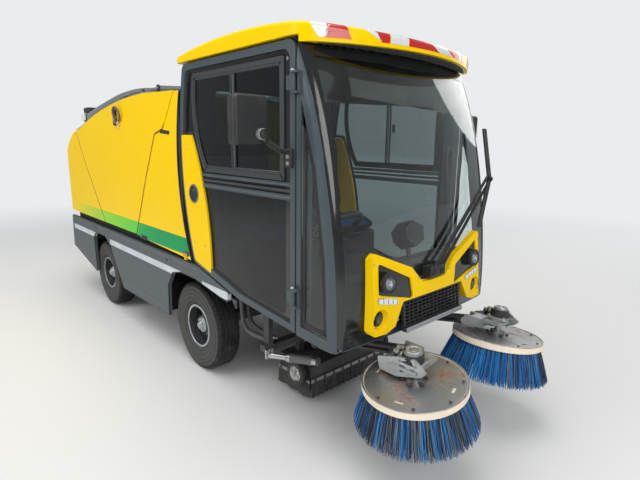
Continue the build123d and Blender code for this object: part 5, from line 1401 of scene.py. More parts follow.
@dataclass
class DoorTrim:
    """The black band, sliding window, seals, handle and small screws of the two doors."""

    glass_y: float = 0.6272
    face_y: float = 0.645

    @staticmethod
    def opening() -> np.ndarray:
        """The glass opening from the side, in model metres: top, front, lower edge, curve, rear edge."""
        corner = np.radians(np.linspace(180, 90, 8))
        first = np.stack([142 + 46 * np.cos(corner), 1860 + 46 * np.sin(corner)], axis=1)
        corner = np.radians(np.linspace(90, 0, 8))
        second = np.stack([1003 + 46 * np.cos(corner), 1860 + 46 * np.sin(corner)], axis=1)
        top = np.linspace([180, 1906], [960, 1906], 10)
        front = np.linspace([1049, 1800], [1049, 652], 14)
        lower = np.vstack([np.linspace([1040, 653], [606, 693], 8), np.linspace([560, 704], [312, 766], 6)])
        curve = arc_through((306, 760), (262, 1190), (130, 1545), 22)[1:]
        bow = arc_through((138, 809), (34, 1300), (96, 1906), 60)
        bow = bow[(bow[:, 1] > 1548) & (bow[:, 1] < 1855)]
        return np.vstack([first, top, second, front, lower, curve, bow]) / 1000

    def band(self) -> Shape:
        """The black printed border on the glass, wide at the front."""
        outline = self.opening()
        x, z = outline.T
        width = np.where((x > 1.0) & (z < 1.88), 0.050, 0.020)
        width = np.where(z > 1.88, 0.017, width)[:, None]
        outer, inner = shrink(outline, 0.0005), shrink(outline, width)
        inner[:, 0] = np.minimum(inner[:, 0], 0.998)
        shift = np.array([AXLE_X, 0])
        return collar(outer + shift, inner + shift, -0.0014, (0, self.glass_y - 0.0003, 0), X, Z, 0.0003, 0)

    @staticmethod
    def window_outline() -> np.ndarray:
        """The sliding window's outer frame edge, bowed at the rear as the door is, in model metres."""
        rear = arc_through((0.262, 1.338), (0.158, 1.560), (0.150, 1.860), 14)
        corners = np.vstack([rear, [[0.158, 1.884], [0.985, 1.884], [0.996, 1.872], [0.996, 1.334]]])
        sizes = np.concatenate([np.full(13, 0.004), [0.060, 0.060], [0.075, 0.02, 0.012]])
        return soft_corners(corners, np.resize(sizes, len(corners)), 5)

    def window(self) -> list[Shape]:
        """The sliding window's two stepped frames, its divider, the slider's edge and the finger catch."""
        outline = self.window_outline()
        shift = np.array([AXLE_X, 0])
        second = shrink(outline, 0.024)
        third = shrink(outline, 0.036)
        plane = (X, Z)
        made = [collar(outline + shift, second + shift, -0.0095, (0, self.glass_y, 0), *plane, 0.0022, 1),
                collar(second + shift, third + shift, -0.0060, (0, self.glass_y, 0), *plane, 0.0012, 1),
                collar(third + shift, shrink(outline, 0.0395) + shift, -0.0042, (0, self.glass_y, 0), *plane,
                       0.0008, 0)]
        for base, x0, y0, z0, x1, y1, z1, edge, worn in (
                # divider and slider's edges, then the slider's foot, catch and catch's button
                (self.glass_y, 0.5485, 0, 1.352, 0.5575, 0.0070, 1.852, 0.0012, 1),
                (self.glass_y, 0.56425, 0, 1.352, 0.57175, 0.0045, 1.852, 0.0012, 5),
                (self.glass_y, 0.5785, 0, 1.352, 0.5875, 0.0082, 1.852, 0.0012, 1),
                (self.glass_y, 0.590, 0, 1.372, 0.962, 0.0040, 1.377, 0.001, 5),
                (self.glass_y, 0.600, 0, 1.585, 0.622, 0.012, 1.640, 0.004, 0),
                (self.glass_y, 0.603, 0.011, 1.606, 0.619, 0.0155, 1.619, 0.002, 0),
                # the three ledges of the bar below the window
                (self.face_y, 0.245, -0.006, 1.2585, 1.044, -0.0015, 1.2635, 0.0012, 5),
                (self.face_y, 0.245, -0.006, 1.2860, 1.044, -0.0024, 1.2990, 0.0012, 1),
                (self.face_y, 0.245, -0.006, 1.3180, 1.044, -0.0015, 1.3215, 0.0012, 5)):
            made.append(block((x0 + AXLE_X, base + y0, z0), (x1 + AXLE_X, base + y1, z1), edge, worn))
        return made

    def handle(self) -> list[Shape]:
        """The round recessed handle: a dished cup with a proud ring, a pull flap and a lock barrel."""
        place = here(135, 644, 1201)
        profile = [(0.0, -0.0125), (0.030, -0.0128), (0.040, -0.0110), (0.0445, -0.006), (0.0452, 0.0015),
                   (0.0462, 0.0024)]
        cup = lathe(profile, place, Y, 56, worn=2)
        ring = lathe([(0.0462, 0.0002), (0.0462, 0.0036), (0.0480, 0.0044), (0.0550, 0.0040),
                      (0.0580, 0.0010), (0.0580, 0.0)], place, Y, 56, loop=True, worn=5)
        back = lathe([(0.0580, -0.0002), (0.0458, -0.0004), (0.0458, -0.0136), (0.0, -0.0138)], place, Y, 56,
                     worn=2)
        flap_outline = soft_corners([(-0.017, -0.036), (0.017, -0.036), (0.019, 0.034), (-0.019, 0.034)],
                                    0.010, 5)
        flap = plate(flap_outline, -0.0050, place + (0, -0.0085, 0), X, Z, 0.0018, 3)
        grip = block(place + (-0.016, -0.0040, -0.034), place + (0.016, 0.0015, -0.022),
                     0.003, 3)
        lock = lathe([(0.0065, -0.010), (0.0065, -0.001), (0.0055, 0.0), (0.002, 0.0), (0.0018, -0.002),
                      (0, -0.002)],
                     place + (0.0, 0, 0.022), Y, 20, worn=4)
        return [cup, ring, back, flap, grip, lock]

    def screws(self) -> list[Shape]:
        """The front band's two round screws and the panel's rivets."""
        made = [screw(here(x, 626.9, z), Y, 0.0085, 4) for x, z in ((1013, 1868), (1026, 1790))]
        made += [screw(here(x, 643.8, z), Y, 0.0045, 4) for x, z in ((86, 1490), (250, 900), (122, 900))]
        return made

    def seals(self) -> Shape:
        """A soft round gasket between the glass and the door's frame, along the whole opening."""
        outline = shrink(self.opening(), 0.0045)
        path = np.column_stack([outline[:, 0] + AXLE_X, np.full(len(outline), self.glass_y + 0.0030),
                                outline[:, 1]])
        return tube(path, 0.0042, 8, closed=True, worn=2)

    def hinge_caps(self) -> list[Shape]:
        """Domed ends on the hinge barrels."""
        made = []
        for z in (800, 1760):
            top = here(1090, 662, z + 48)
            made.append(lathe([(0.0118, -0.002), (0.0118, 0.002), (0.008, 0.006), (0, 0.007)], top, Z, 20,
                              worn=4))
        return made

    def build(self) -> None:
        """Makes the trims of both doors."""
        shapes = [self.band(), *self.window(), *self.handle(), *self.screws(), self.seals()]
        finishes = ["gloss black", "window frame grey", "black rubber", "black plastic", "screw zinc",
                    "ring grey"]
        pair("door_trim", shapes, finishes, "cab_door_{}", "black_plastic")
        piece("hinge_caps", both(self.hinge_caps()), finishes, "chassis", "grey_paint")


@dataclass
class MirrorDressing:
    """Glass, seams, ribbed clamp knob and bellows on each door mirror."""

    x: float = 1050
    z: float = 1596
    knob_y: float = 822
    inner_y: float = 776
    outer_y: float = 944

    def outline(self, inset: float) -> np.ndarray:
        """The head's outline (Y, Z) in metres, moved in by an amount."""
        corners = [(self.inner_y, self.z - 62), (self.inner_y + 44, self.z - 100),
                   (self.outer_y, self.z - 100), (self.outer_y, self.z + 100), (self.inner_y, self.z + 100)]
        return shrink(soft_corners(np.array(corners) / 1000, 0.022, 6), inset)

    def build(self) -> None:
        """Makes both mirrors' fittings."""
        rear_x = (self.x - 26) / 1000 + AXLE_X
        plane = (Y, Z)
        bezel = collar(self.outline(0.0), self.outline(0.011), -0.006, (rear_x + 0.001, 0, 0), *plane, 0.002,
                       0)
        glass = plate(self.outline(0.0108), -0.0030, (rear_x + 0.0005, 0, 0), *plane, 0.0006, 1)
        seam = collar(self.outline(-0.0004), self.outline(0.003), 0.0022, (rear_x + 0.024, 0, 0), *plane,
                      0.0006, 2)
        place = here(self.x + 52, self.knob_y, self.z - 54)
        angle = circle(72)
        level = np.array([-0.030, -0.028, -0.006, -0.003, 0.0, 0.0])
        size = np.array([0.0212, 0.0232, 0.0232, 0.0215, 0.0150, 0.0001])
        ribs = 1 + 0.035 * np.sign(np.sin(24 * angle))[None, :] * (np.array([0, 1, 1, 0, 0, 0])[:, None])
        radius = size[:, None] * ribs
        knob = grid(np.stack([place[0] + np.repeat(level[:, None], 72, axis=1),
                              place[1] + radius * np.cos(angle),
                              place[2] + radius * np.sin(angle)], axis=-1), wrap_v=True, cap=True, worn=3)
        hub = lathe([(0.0155, 0), (0.0155, 0.0015), (0.010, 0.004), (0, 0.0045)], place, X, 32, worn=0)
        start, end = here(self.x + 2, 701, self.z - 124), here(self.x, self.knob_y, self.z - 54)
        t = np.linspace(0.04, 0.60, 30)
        bellows = tube(start + (end - start) * t[:, None], 0.0128 + 0.0020 * np.cos(t * 2 * math.pi * 12), 16,
                       worn=4)
        foot = block(here(self.x - 22, 645, self.z - 190), here(self.x + 26, 660.5, self.z - 118), 0.006, 0)
        bolts = [hexagon(here(self.x + 2, 660, z), Y, 0.0075, 0.006, 3) for z in (self.z - 178, self.z - 148)]
        shapes = [bezel, glass, seam, knob, hub, bellows, foot, *bolts]
        pair("mirror_dressing", shapes, ["black plastic", "mirror glass", "gloss black", "knob grey",
                                         "black rubber"],
             "cab_door_{}", "black_plastic")


@dataclass
class FasciaFittings:
    """Headlamps, light strips, fog lamps, the silver-grey lip and small screws on the front fascia."""

    middle_x: float = 1440
    lean: float = math.radians(5.3)
    hinge_z: float = 660
    bend: float = 9000

    def on_face(self, y: float, z: float, proud: float = 0.0) -> np.ndarray:
        """A place on the leaning, slightly curved front face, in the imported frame."""
        x = self.middle_x - (z - self.hinge_z) * math.tan(self.lean) - y * y / (2 * self.bend)
        return here(x + proud, y, z)

    def lamp(self, place: np.ndarray, axis: tuple, radius: float) -> list[Shape]:
        """A round lamp: black ring, deep bright bowl, a small projector lens and a domed cover glass."""
        bowl = [(radius * 0.20, -0.017), (radius * 0.45, -0.015), (radius * 0.75, -0.009),
                (radius * 0.97, 0.0005)]
        back = [(radius * 0.97, -0.0005), (radius * 0.75, -0.0105), (radius * 0.45, -0.0165),
                (radius * 0.20, -0.0185)]
        made = [lathe(bowl + back, place, axis, 48, loop=True, worn=0)]
        made.append(lathe([(radius * 0.32, -0.016), (radius * 0.34, -0.008), (radius * 0.27, -0.003),
                           (0, -0.001)], place,
                          axis, 32, worn=2))
        cover = [(radius * 0.99, 0.001), (radius * 0.8, 0.0050), (radius * 0.4, 0.0078), (0.0, 0.0085)]
        inside = [(0.0, 0.0070), (radius * 0.4, 0.0063), (radius * 0.8, 0.0036), (radius * 0.97, 0.0)]
        made.append(joined([lathe(cover, place, axis, 48), lathe(inside, place, axis, 48)], 3))
        turn = circle(10)
        ring = list(zip(radius + 0.002 + 0.0035 * np.cos(turn), 0.0008 + 0.0035 * np.sin(turn)))
        made.append(lathe(ring, place, axis, 64, loop=True, worn=4))
        return made

    def strip(self) -> list[Shape]:
        """The slanted light strip: a bright frame round four lit cells."""
        corners = np.array([(301, 801), (434, 829), (434, 802), (301, 774)], float)
        outer = soft_corners(corners / 1000, 0.005, 4)[::-1]
        base = self.on_face(368, 801, 2.4)
        lean = math.tan(self.lean)
        v = (-lean, 0, 1)
        u = (-0.041, 1, 0)
        origin = base - 0.368 * np.array(u) - 0.801 * np.array(v)
        made = [collar(outer, shrink(outer, 0.0030), 0.0018, origin, u, v, 0.0006, 1)]
        left, right, rise = 0.3045, 0.4305, 28 / 133
        for k in range(4):
            a = left + (right - left) * (k + 0.06) / 4
            b = left + (right - left) * (k + 0.94) / 4
            cell = [(a, 0.8012 + rise * (a - 0.301) - 0.0035), (a, 0.774 + rise * (a - 0.301) + 0.0035),
                    (b, 0.774 + rise * (b - 0.301) + 0.0035), (b, 0.8012 + rise * (b - 0.301) - 0.0035)]
            made.append(plate(soft_corners(cell, 0.004, 4), 0.0015, origin, u, v, 0.0006, 2))
        return made

    def build(self) -> None:
        """Makes the fittings on both sides and the lip across the middle."""
        lean_axis = (math.cos(self.lean), 0, math.sin(self.lean))
        head = self.lamp(self.on_face(374, 892, 21.5), lean_axis, 0.0345)
        turn = circle(10)
        collar_ring = list(zip(0.0440 + 0.0040 * np.cos(turn), 0.0010 + 0.0030 * np.sin(turn)))
        head.append(lathe(collar_ring, self.on_face(374, 892, 20.8), lean_axis, 72, loop=True, worn=4))
        ribs = [lathe([(0.0462, -0.001), (0.0480, 0.0), (0.0480, 0.003), (0.0462, 0.004)], here(x, 374, 892),
                      X, 56, loop=True, worn=4) for x in (1417, 1424)]
        fog = self.lamp(here(1400.6, 416, 724), X, 0.0315)
        shapes = head + ribs + fog + self.strip()
        pair("front_lights", shapes, ["lamp bowl", "chrome", "lamp white", "lamp glass", "black plastic"],
             "chassis", "lamp")
        lip = soft_corners([(-0.249, 0.6225), (0.249, 0.6225), (0.249, 0.6455), (-0.249, 0.6455)], 0.006, 4)
        lean = math.tan(self.lean)
        origin = self.on_face(0, 634, 2.2) - 0.634 * np.array([-lean, 0, 1])
        made = [plate(lip, 0.005, origin, Y, (-lean, 0, 1), 0.002)]
        for y, z in ((140, 870), (455, 700), (452, 985), (300, 700)):
            for sign in (-1, 1):
                made.append(screw(self.on_face(sign * y, z, 0.0), lean_axis, 0.0055, 1))
        piece("fascia_trim", made, ["lip silver", "screw zinc"], "chassis", "bright_steel")


@dataclass
class HopperTrim:
    """The hopper's hook, lid fittings and lamps, and the handle and marker on the panel ahead of it."""

    face_y: float = 0.640
    lid_top: tuple[tuple[float, ...], tuple[float, ...]] = (
        (-2282, -1900, -1314, -921, -446, -128), (1735, 1800, 1881, 1896, 1862, 1846))

    def hook(self) -> list[Shape]:
        """A rusty forged hook over a black bracket with its spring, on the middle panel."""
        made = [plate(soft_corners([(-0.028, -0.072), (0.024, -0.072), (0.030, 0.060), (-0.026, 0.066)],
                                   0.008, 4), -0.005,
                      here(-1082, 640, 1690), X, Z, 0.001, 1)]
        centre = here(-1008, 660, 1700)
        turn = np.radians(np.linspace(198, -78, 34))
        ring = np.stack([centre[0] + 0.056 * np.cos(turn), centre[1] + 0.010 * np.sin(turn),
                         centre[2] + 0.050 * np.sin(turn)],
                        axis=1)
        made.append(tube(ring, np.linspace(0.0105, 0.0075, 34), 10, worn=0))
        stem = smooth_path([here(-996, 650, 1652), here(-1014, 654, 1640), here(-1024, 652, 1618),
                            here(-1016, 646, 1594)], 14)
        made.append(tube(stem, np.linspace(0.0085, 0.0045, 14), 8, worn=3))
        made.append(tube([here(-1092, 652, 1742), here(-1088, 654, 1690), here(-1098, 650, 1622)], 0.0065, 8,
                         worn=1))
        made.append(tube([here(-1066, 652, 1640), here(-1040, 656, 1676), here(-1014, 656, 1690)], 0.0055, 8,
                         worn=0))
        made.append(hexagon(here(-1084, 645, 1738), Y, 0.011, 0.011, 2))
        made.append(hexagon(here(-1080, 645, 1640), Y, 0.009, 0.009, 2))
        turns = np.linspace(0, 1, 150)
        start, end = here(-1072, 655, 1650), here(-1066, 656, 1735)
        coil = start + (end - start) * turns[:, None] + 0.008 * np.stack(
            [np.cos(turns * 18 * math.pi), np.sin(turns * 18 * math.pi), 0 * turns], axis=1)
        made.append(tube(coil, 0.0016, 6, worn=3))
        return made

    def lid(self) -> list[Shape]:
        """Clamp blocks and bolts along the lid's rail, and the cover plate's edge."""
        line = np.array([(-2270, 1615), (-1635, 1755), (-1088, 1838), (-531, 1866), (-125, 1829)], float)
        x = np.linspace(-2282, -128, 60)
        low = np.interp(x, line[:, 0], line[:, 1]) - 24
        high = np.interp(x, self.lid_top[0], self.lid_top[1])
        high = np.convolve(np.pad(high, 4, mode="edge"), np.ones(9) / 9, mode="valid")
        high = np.maximum(high, low + 30)
        level = np.array([0.0, 0.0, 0.55, 0.62, 0.94, 1.0, 1.0, 0.0])
        out = np.array([505.0, 511.0, 511.0, 516.0, 516.0, 511.0, 503.0, 503.0])
        wall = np.stack([np.repeat(x[:, None], 8, axis=1), np.repeat(out[None], 60, axis=0),
                         low[:, None] + (high - low)[:, None] * level[None]], axis=-1) / 1000
        made = [grid(wall + np.array([AXLE_X, 0, 0]), wrap_v=True, cap=True, worn=5)]
        for x in (-2080, -1760, -1430, -1180, -820, -560):
            z = float(np.interp(x, line[:, 0], line[:, 1]))
            made.append(block(here(x - 20, 514, z - 18), here(x + 20, 524, z + 26), 0.004, 1))
            made.append(hexagon(here(x, 524, z + 4), Y, 0.008, 0.007, 2))
        return made

    def seams(self) -> list[Shape]:
        """Soft dark seals along the slanted joints of the side cladding."""
        made = []
        for joint in (((-2141, 1577), (-1884, 1237), (-1512, 806)),
                      ((-822, 808), (-589, 1234), (-391, 1552), (-268, 1586), (-240, 1620))):
            path = dense([here(x, 640.2, z) for x, z in joint], 14)
            section = np.array([[-0.0030, -0.0012], [0.0030, -0.0012], [0.0022, 0.0010], [-0.0022, 0.0010]])
            made.append(ribbon(path, section, Y, worn=1))
        return made

    def rear_box(self) -> list[Shape]:
        """The black valve box with its bracket on the lid's rear corner."""
        made = [block(here(-2335, 420, 1762), here(-2180, 500, 1812), 0.010, 1)]
        for x in (-2315, -2200):
            made.append(tube([here(x, 470, 1765), here(x + 6, 478, 1700), here(x + 10, 484, 1585)], 0.008, 8,
                             worn=1))
        made.append(tube(smooth_path([here(-2338, 460, 1790), here(-2352, 466, 1750), here(-2344, 474, 1700),
                                      here(-2318, 480, 1660), here(-2290, 484, 1590)], 16), 0.006, 8, worn=1))
        return made

    def rear_lamp(self) -> list[Shape]:
        """A white work lamp on a bent bracket at the rail's rear end."""
        place = here(-2235, 520, 1716)
        made = [block(place + (-0.030, 0.0, -0.028), place + (0.030, 0.022, 0.030), 0.006, 4)]
        made.append(block(place + (-0.036, -0.012, -0.034), place + (0.036, 0.004, 0.036),
                          0.006, 1))
        made.append(tube([place + (0, -0.006, -0.030), place + (0, -0.014, -0.060),
                          place + (0, -0.020, -0.085)], 0.007, 8, worn=1))
        return made

    def handle(self) -> list[Shape]:
        """The black slot handle on the engine's side panel: a dark frame round a sunk grip."""
        outline = np.array([(-0.301, 1.5575), (-0.163, 1.5480), (-0.160, 1.5700),
                            (-0.298, 1.5830)]) + np.array([AXLE_X, 0])
        frame_outline = soft_corners(outline, 0.006, 4)
        made = [collar(frame_outline, shrink(frame_outline, 0.0035), -0.0028, (0, self.face_y - 0.0005, 0), X,
                       Z, 0.001, 0)]
        made.append(plate(shrink(frame_outline, 0.0030), -0.0009, (0, self.face_y - 0.0002, 0), X, Z,
                          0.0003, 1))
        made.append(block(here(-730, 639.6, 786), here(-622, 643.5, 816), 0.006, 1))
        made.append(block(here(-716, 643, 793), here(-640, 645.5, 808), 0.004, 0))
        return made

    def marker(self) -> list[Shape]:
        """The orange side marker in its black holder."""
        low, high = here(-45, 639.5, 784), here(18, 646, 812)
        made = [block(low, high, 0.004, 1)]
        u, v, rise = dome(17, 9, 0.0115)
        middle = here(-13.5, 645.5, 798)
        points = np.stack([middle[0] + 0.026 * u, middle[1] + rise, middle[2] + 0.0105 * v], axis=-1)
        flat = points.copy()
        flat[..., 1] = middle[1] - 0.002
        made.append(shell(points, flat, 3))
        return made

    def build(self) -> None:
        """Makes the trims on both sides; the hook and the lamp are on each side alike."""
        pair("hopper_trim", self.hook() + self.lid() + self.seams() + self.rear_lamp() + self.rear_box(),
             ["rusty steel", "black plastic", "screw zinc", "bright steel", "lamp white", "tub paint"],
             "hopper", "dark_paint")
        pair("panel_trim", self.handle() + self.marker(),
             ["black rubber", "gloss black", "screw zinc", "orange lens"], "chassis", "black_plastic")


@dataclass
class SkirtTrim:
    """Rolled lips round the wheel arches, black as painted shade at the arch edges, the pressed ledge and the
    screws of the side skirts.
    """

    face_y: float = 0.640

    def arch(self, points: list[tuple[float, float]]) -> Shape:
        """A rolled lip along an arch's edge, in black rubber as painted shade, so the edge blends into the
        shaded housing.
        """
        x, z = dense(points, 9).T / 1000
        return tube(np.column_stack([x + AXLE_X, np.full(len(x), self.face_y - 0.005), z]), 0.0052, 8)

    def ledge(self, start: float, end: float, z: float, deep: float = 0.0026) -> Shape:
        """A shallow pressed ledge along the skirt."""
        x = np.linspace(start, end, 24) + AXLE_X
        path = np.column_stack([x, np.full(24, self.face_y - 0.0002), np.full(24, z)])
        section = np.array([[0.0, -0.007], [deep, -0.0045], [deep, 0.0045], [0.0, 0.007], [-0.001, 0.0]])
        return ribbon(path, section, Z, worn=1)

    def splash_seal(self, start: float, end: float) -> Shape:
        """A hanging black rubber sheet in the gap above the skirt, with a slow wave along it: painted shade, a
        dark sheet standing for the shade and the dark chassis parts in that gap.
        """
        x, v = lattice(np.linspace(start, end, 80), np.linspace(0, 1, 5))
        wave = 0.002 * np.sin(x * 9)
        outer = np.stack([x + AXLE_X, 0.592 + wave, 0.690 + 0.107 * v], axis=-1)
        return shell(outer, outer - np.array([0, 0.004, 0]), 0)

    def panel_edge(self) -> Shape:
        """The rubber edge on the engine panel's bowed front."""
        bow = arc_through((-6.0, 1805.5), (-68.0, 1300.0), (55.0, 770.0), 48)
        x, z = bow[:, 0] / 1000 + AXLE_X, bow[:, 1] / 1000
        ring = [np.column_stack([x + dx, np.full(48, y), z]) for dx, y in (
            (-0.004, 0.6175), (0.0035, 0.6175), (0.0035, 0.6395), (0.0010, 0.6412), (-0.004, 0.6412))]
        return grid(np.stack(ring, axis=1), wrap_v=True, cap=True, worn=0)

    def build(self) -> None:
        """Makes the skirts' trims on both sides."""
        rear = self.arch([(-1882, 286), (-1882, 618), (-1812, 671), (-1572, 671), (-1434, 600), (-1196, 286)])
        front = self.arch([(-326, 292), (-313, 520), (-231, 631), (-111, 657), (90, 657), (466, 605)])
        shapes = [rear, front]
        for start, end, z in ((-2.50, -1.90, 0.7225), (-1.78, -1.60, 0.7225), (-1.40, -0.25, 0.7225),
                              (-0.20, 0.12, 0.7225)):
            shapes.append(self.ledge(start, end, z))
        shapes.append(self.ledge(-1.16, -0.34, 0.335))
        for x, z in ((-1790, 713), (-309, 702)):
            shapes.append(screw(here(x, 639.8, z), Y, 0.0085, 0))
        # the black block behind the engine panel's front edge is painted shade: a dark fill for the shaded gap
        # there
        shapes += [self.splash_seal(-2.44, 0.03), self.panel_edge(),
                   block(here(-54, 604, 860), here(-28, 637, 1788))]
        pair("skirt_trim", shapes, ["black rubber", "skirt edge paint"], "chassis", "grey_paint")


@dataclass
class WheelHousings:
    """Black inner wheel housings between the frame rails and the skirts: partly real liners, partly painted
    shade, their near-black colour standing for the deep shade inside the arches.
    """

    rail_y: float = 0.2465
    skirt_y: float = 0.6125
    wall: float = 0.004
    radius: float = 0.350
    axle_z: float = 0.297
    web_foot: float = 0.45

    def bent(self, line: np.ndarray) -> Shape:
        """A sheet from the rail to the skirt, bent along a line of the side view."""
        outer = np.stack([np.column_stack([line[:, 0], np.full(len(line), y), line[:, 1]])
                          for y in (self.rail_y, self.skirt_y)], axis=1)
        along = np.gradient(line, axis=0)
        normal = np.column_stack([-along[:, 1], along[:, 0]]) / np.linalg.norm(along, axis=1)[:, None]
        inner = outer - self.wall * np.column_stack([normal[:, 0], np.zeros(len(line)),
                                                     normal[:, 1]])[:, None]
        return shell(outer, inner, 0)

    def web(self, line: np.ndarray) -> Shape:
        """The upright web along the rail, below a bent line."""
        return plate(line, -self.wall, (0, self.rail_y, 0), X, Z, 0.0005, 0)

    def build(self) -> None:
        """Makes the housings of both sides."""
        turn = np.radians(np.linspace(186, 22, 48))
        rear = np.column_stack([REAR_AXLE_X + self.radius * np.cos(turn), self.axle_z + self.radius
                                * np.sin(turn)])
        corners = np.array([(-0.385, 0.300), (-0.385, 0.560), (-0.320, 0.641), (0.290, 0.641),
                            (0.318, 0.560)])
        corners = corners + np.array([AXLE_X, 0.0])
        front = np.vstack([corners[:1], soft_corners(corners, 0.03, 5)[5:20], corners[-1:]])
        shapes = []
        for line in (rear, front):
            shapes.append(self.bent(line))
            high = line[line[:, 1] > self.web_foot]
            ends = np.array([(high[-1, 0], self.web_foot), (high[0, 0], self.web_foot)])
            shapes.append(self.web(np.vstack([high, ends])))
        pair("wheel_housings", shapes, ["housing black"], "chassis", "black_plastic")


@dataclass
class HoseRuns:
    """The spiral-wrapped hydraulic hoses behind each front wheel, with their crimped ends."""

    route: tuple[Triple, ...] = (
        (404, 456, 649.7), (404, 456, 520), (440, 466, 430), (540, 462, 398), (640, 456, 398),
        (719.7, 456, 398))
    second_drop: tuple[float, ...] = (0, 0, 24, 12, 0, 0)
    second_shift: float = 44
    radius: float = 0.0132
    wrap: float = 0.0016
    pitch: float = 0.0125

    def line(self, number: int) -> np.ndarray:
        """The middle line of a hose: points read from a smooth spline of order 3 through its route."""
        points = np.array(self.route, float)
        if number:
            points[:, 1] += self.second_shift
            points[:, 2] -= np.array(self.second_drop)
        curve = bpy.data.curves.new("hose route", "CURVE")
        curve.dimensions = "3D"
        curve.resolution_u = 24
        spline = curve.splines.new("NURBS")
        spline.points.add(len(points) - 1)
        for target, place in zip(spline.points, points):
            target.co = (*here(*place), 1.0)
        spline.order_u = 3
        spline.use_endpoint_u = True
        thing = bpy.data.objects.new("hose route", curve)
        mesh = bpy.data.meshes.new_from_object(thing)
        found = np.array([tuple(vertex.co) for vertex in mesh.vertices])
        bpy.data.objects.remove(thing)
        bpy.data.meshes.remove(mesh)
        return found

    def hose(self, number: int) -> list[Shape]:
        """A hose swelling along a helix: radius + wrap x a smooth ridge of (angle - distance / pitch)."""
        line = self.line(number)
        along = np.concatenate([[0], np.cumsum(np.linalg.norm(np.diff(line, axis=0), axis=1))])
        at = np.linspace(0, along[-1], int(along[-1] / 0.0022))
        path = np.stack([np.interp(at, along, line[:, axis]) for axis in range(3)], axis=1)
        for _ in range(3):
            path[1:-1] = (path[:-2] + 2 * path[1:-1] + path[2:]) / 4
        tangent = unit(np.gradient(path, axis=0))
        across = unit(np.cross(tangent, (0.0, 1.0, 0.0)))
        up = np.cross(tangent, across)
        angle = circle(16)
        phase = angle[None, :] - at[:, None] / self.pitch * 2 * math.pi
        size = self.radius + self.wrap * np.clip(0.9 + 1.6 * np.cos(phase), 0, 1)
        ring = np.cos(angle)[None, :, None] * across[:, None] + np.sin(angle)[None, :, None] * up[:, None]
        made = [grid(path[:, None] + size[..., None] * ring, wrap_v=True, cap=True, worn=0)]
        for place, towards in ((path[0], path[6] - path[0]), (path[-1], path[-7] - path[-1])):
            profile = [(0.0150, 0.0005), (0.0172, 0.001), (0.0172, 0.030), (0.0160, 0.032), (0.0168, 0.034),
                       (0.0168, 0.040), (0.0150, 0.042)]
            made.append(lathe(profile, place, towards, 24, loop=True, worn=1))
            made.append(lathe([(0.0215, 0.0003), (0.0215, 0.010), (0.0165, 0.012), (0.0120, 0.012),
                               (0.0120, 0.0003)],
                              place, towards, 6, loop=True, worn=2))
        return made

    def build(self) -> None:
        """Makes the four hoses, two on each side."""
        pair("hydraulic_hoses", self.hose(0) + self.hose(1), ["hose wrap", "screw zinc", "cast aluminium"],
             "chassis", "rubber", "hoses")


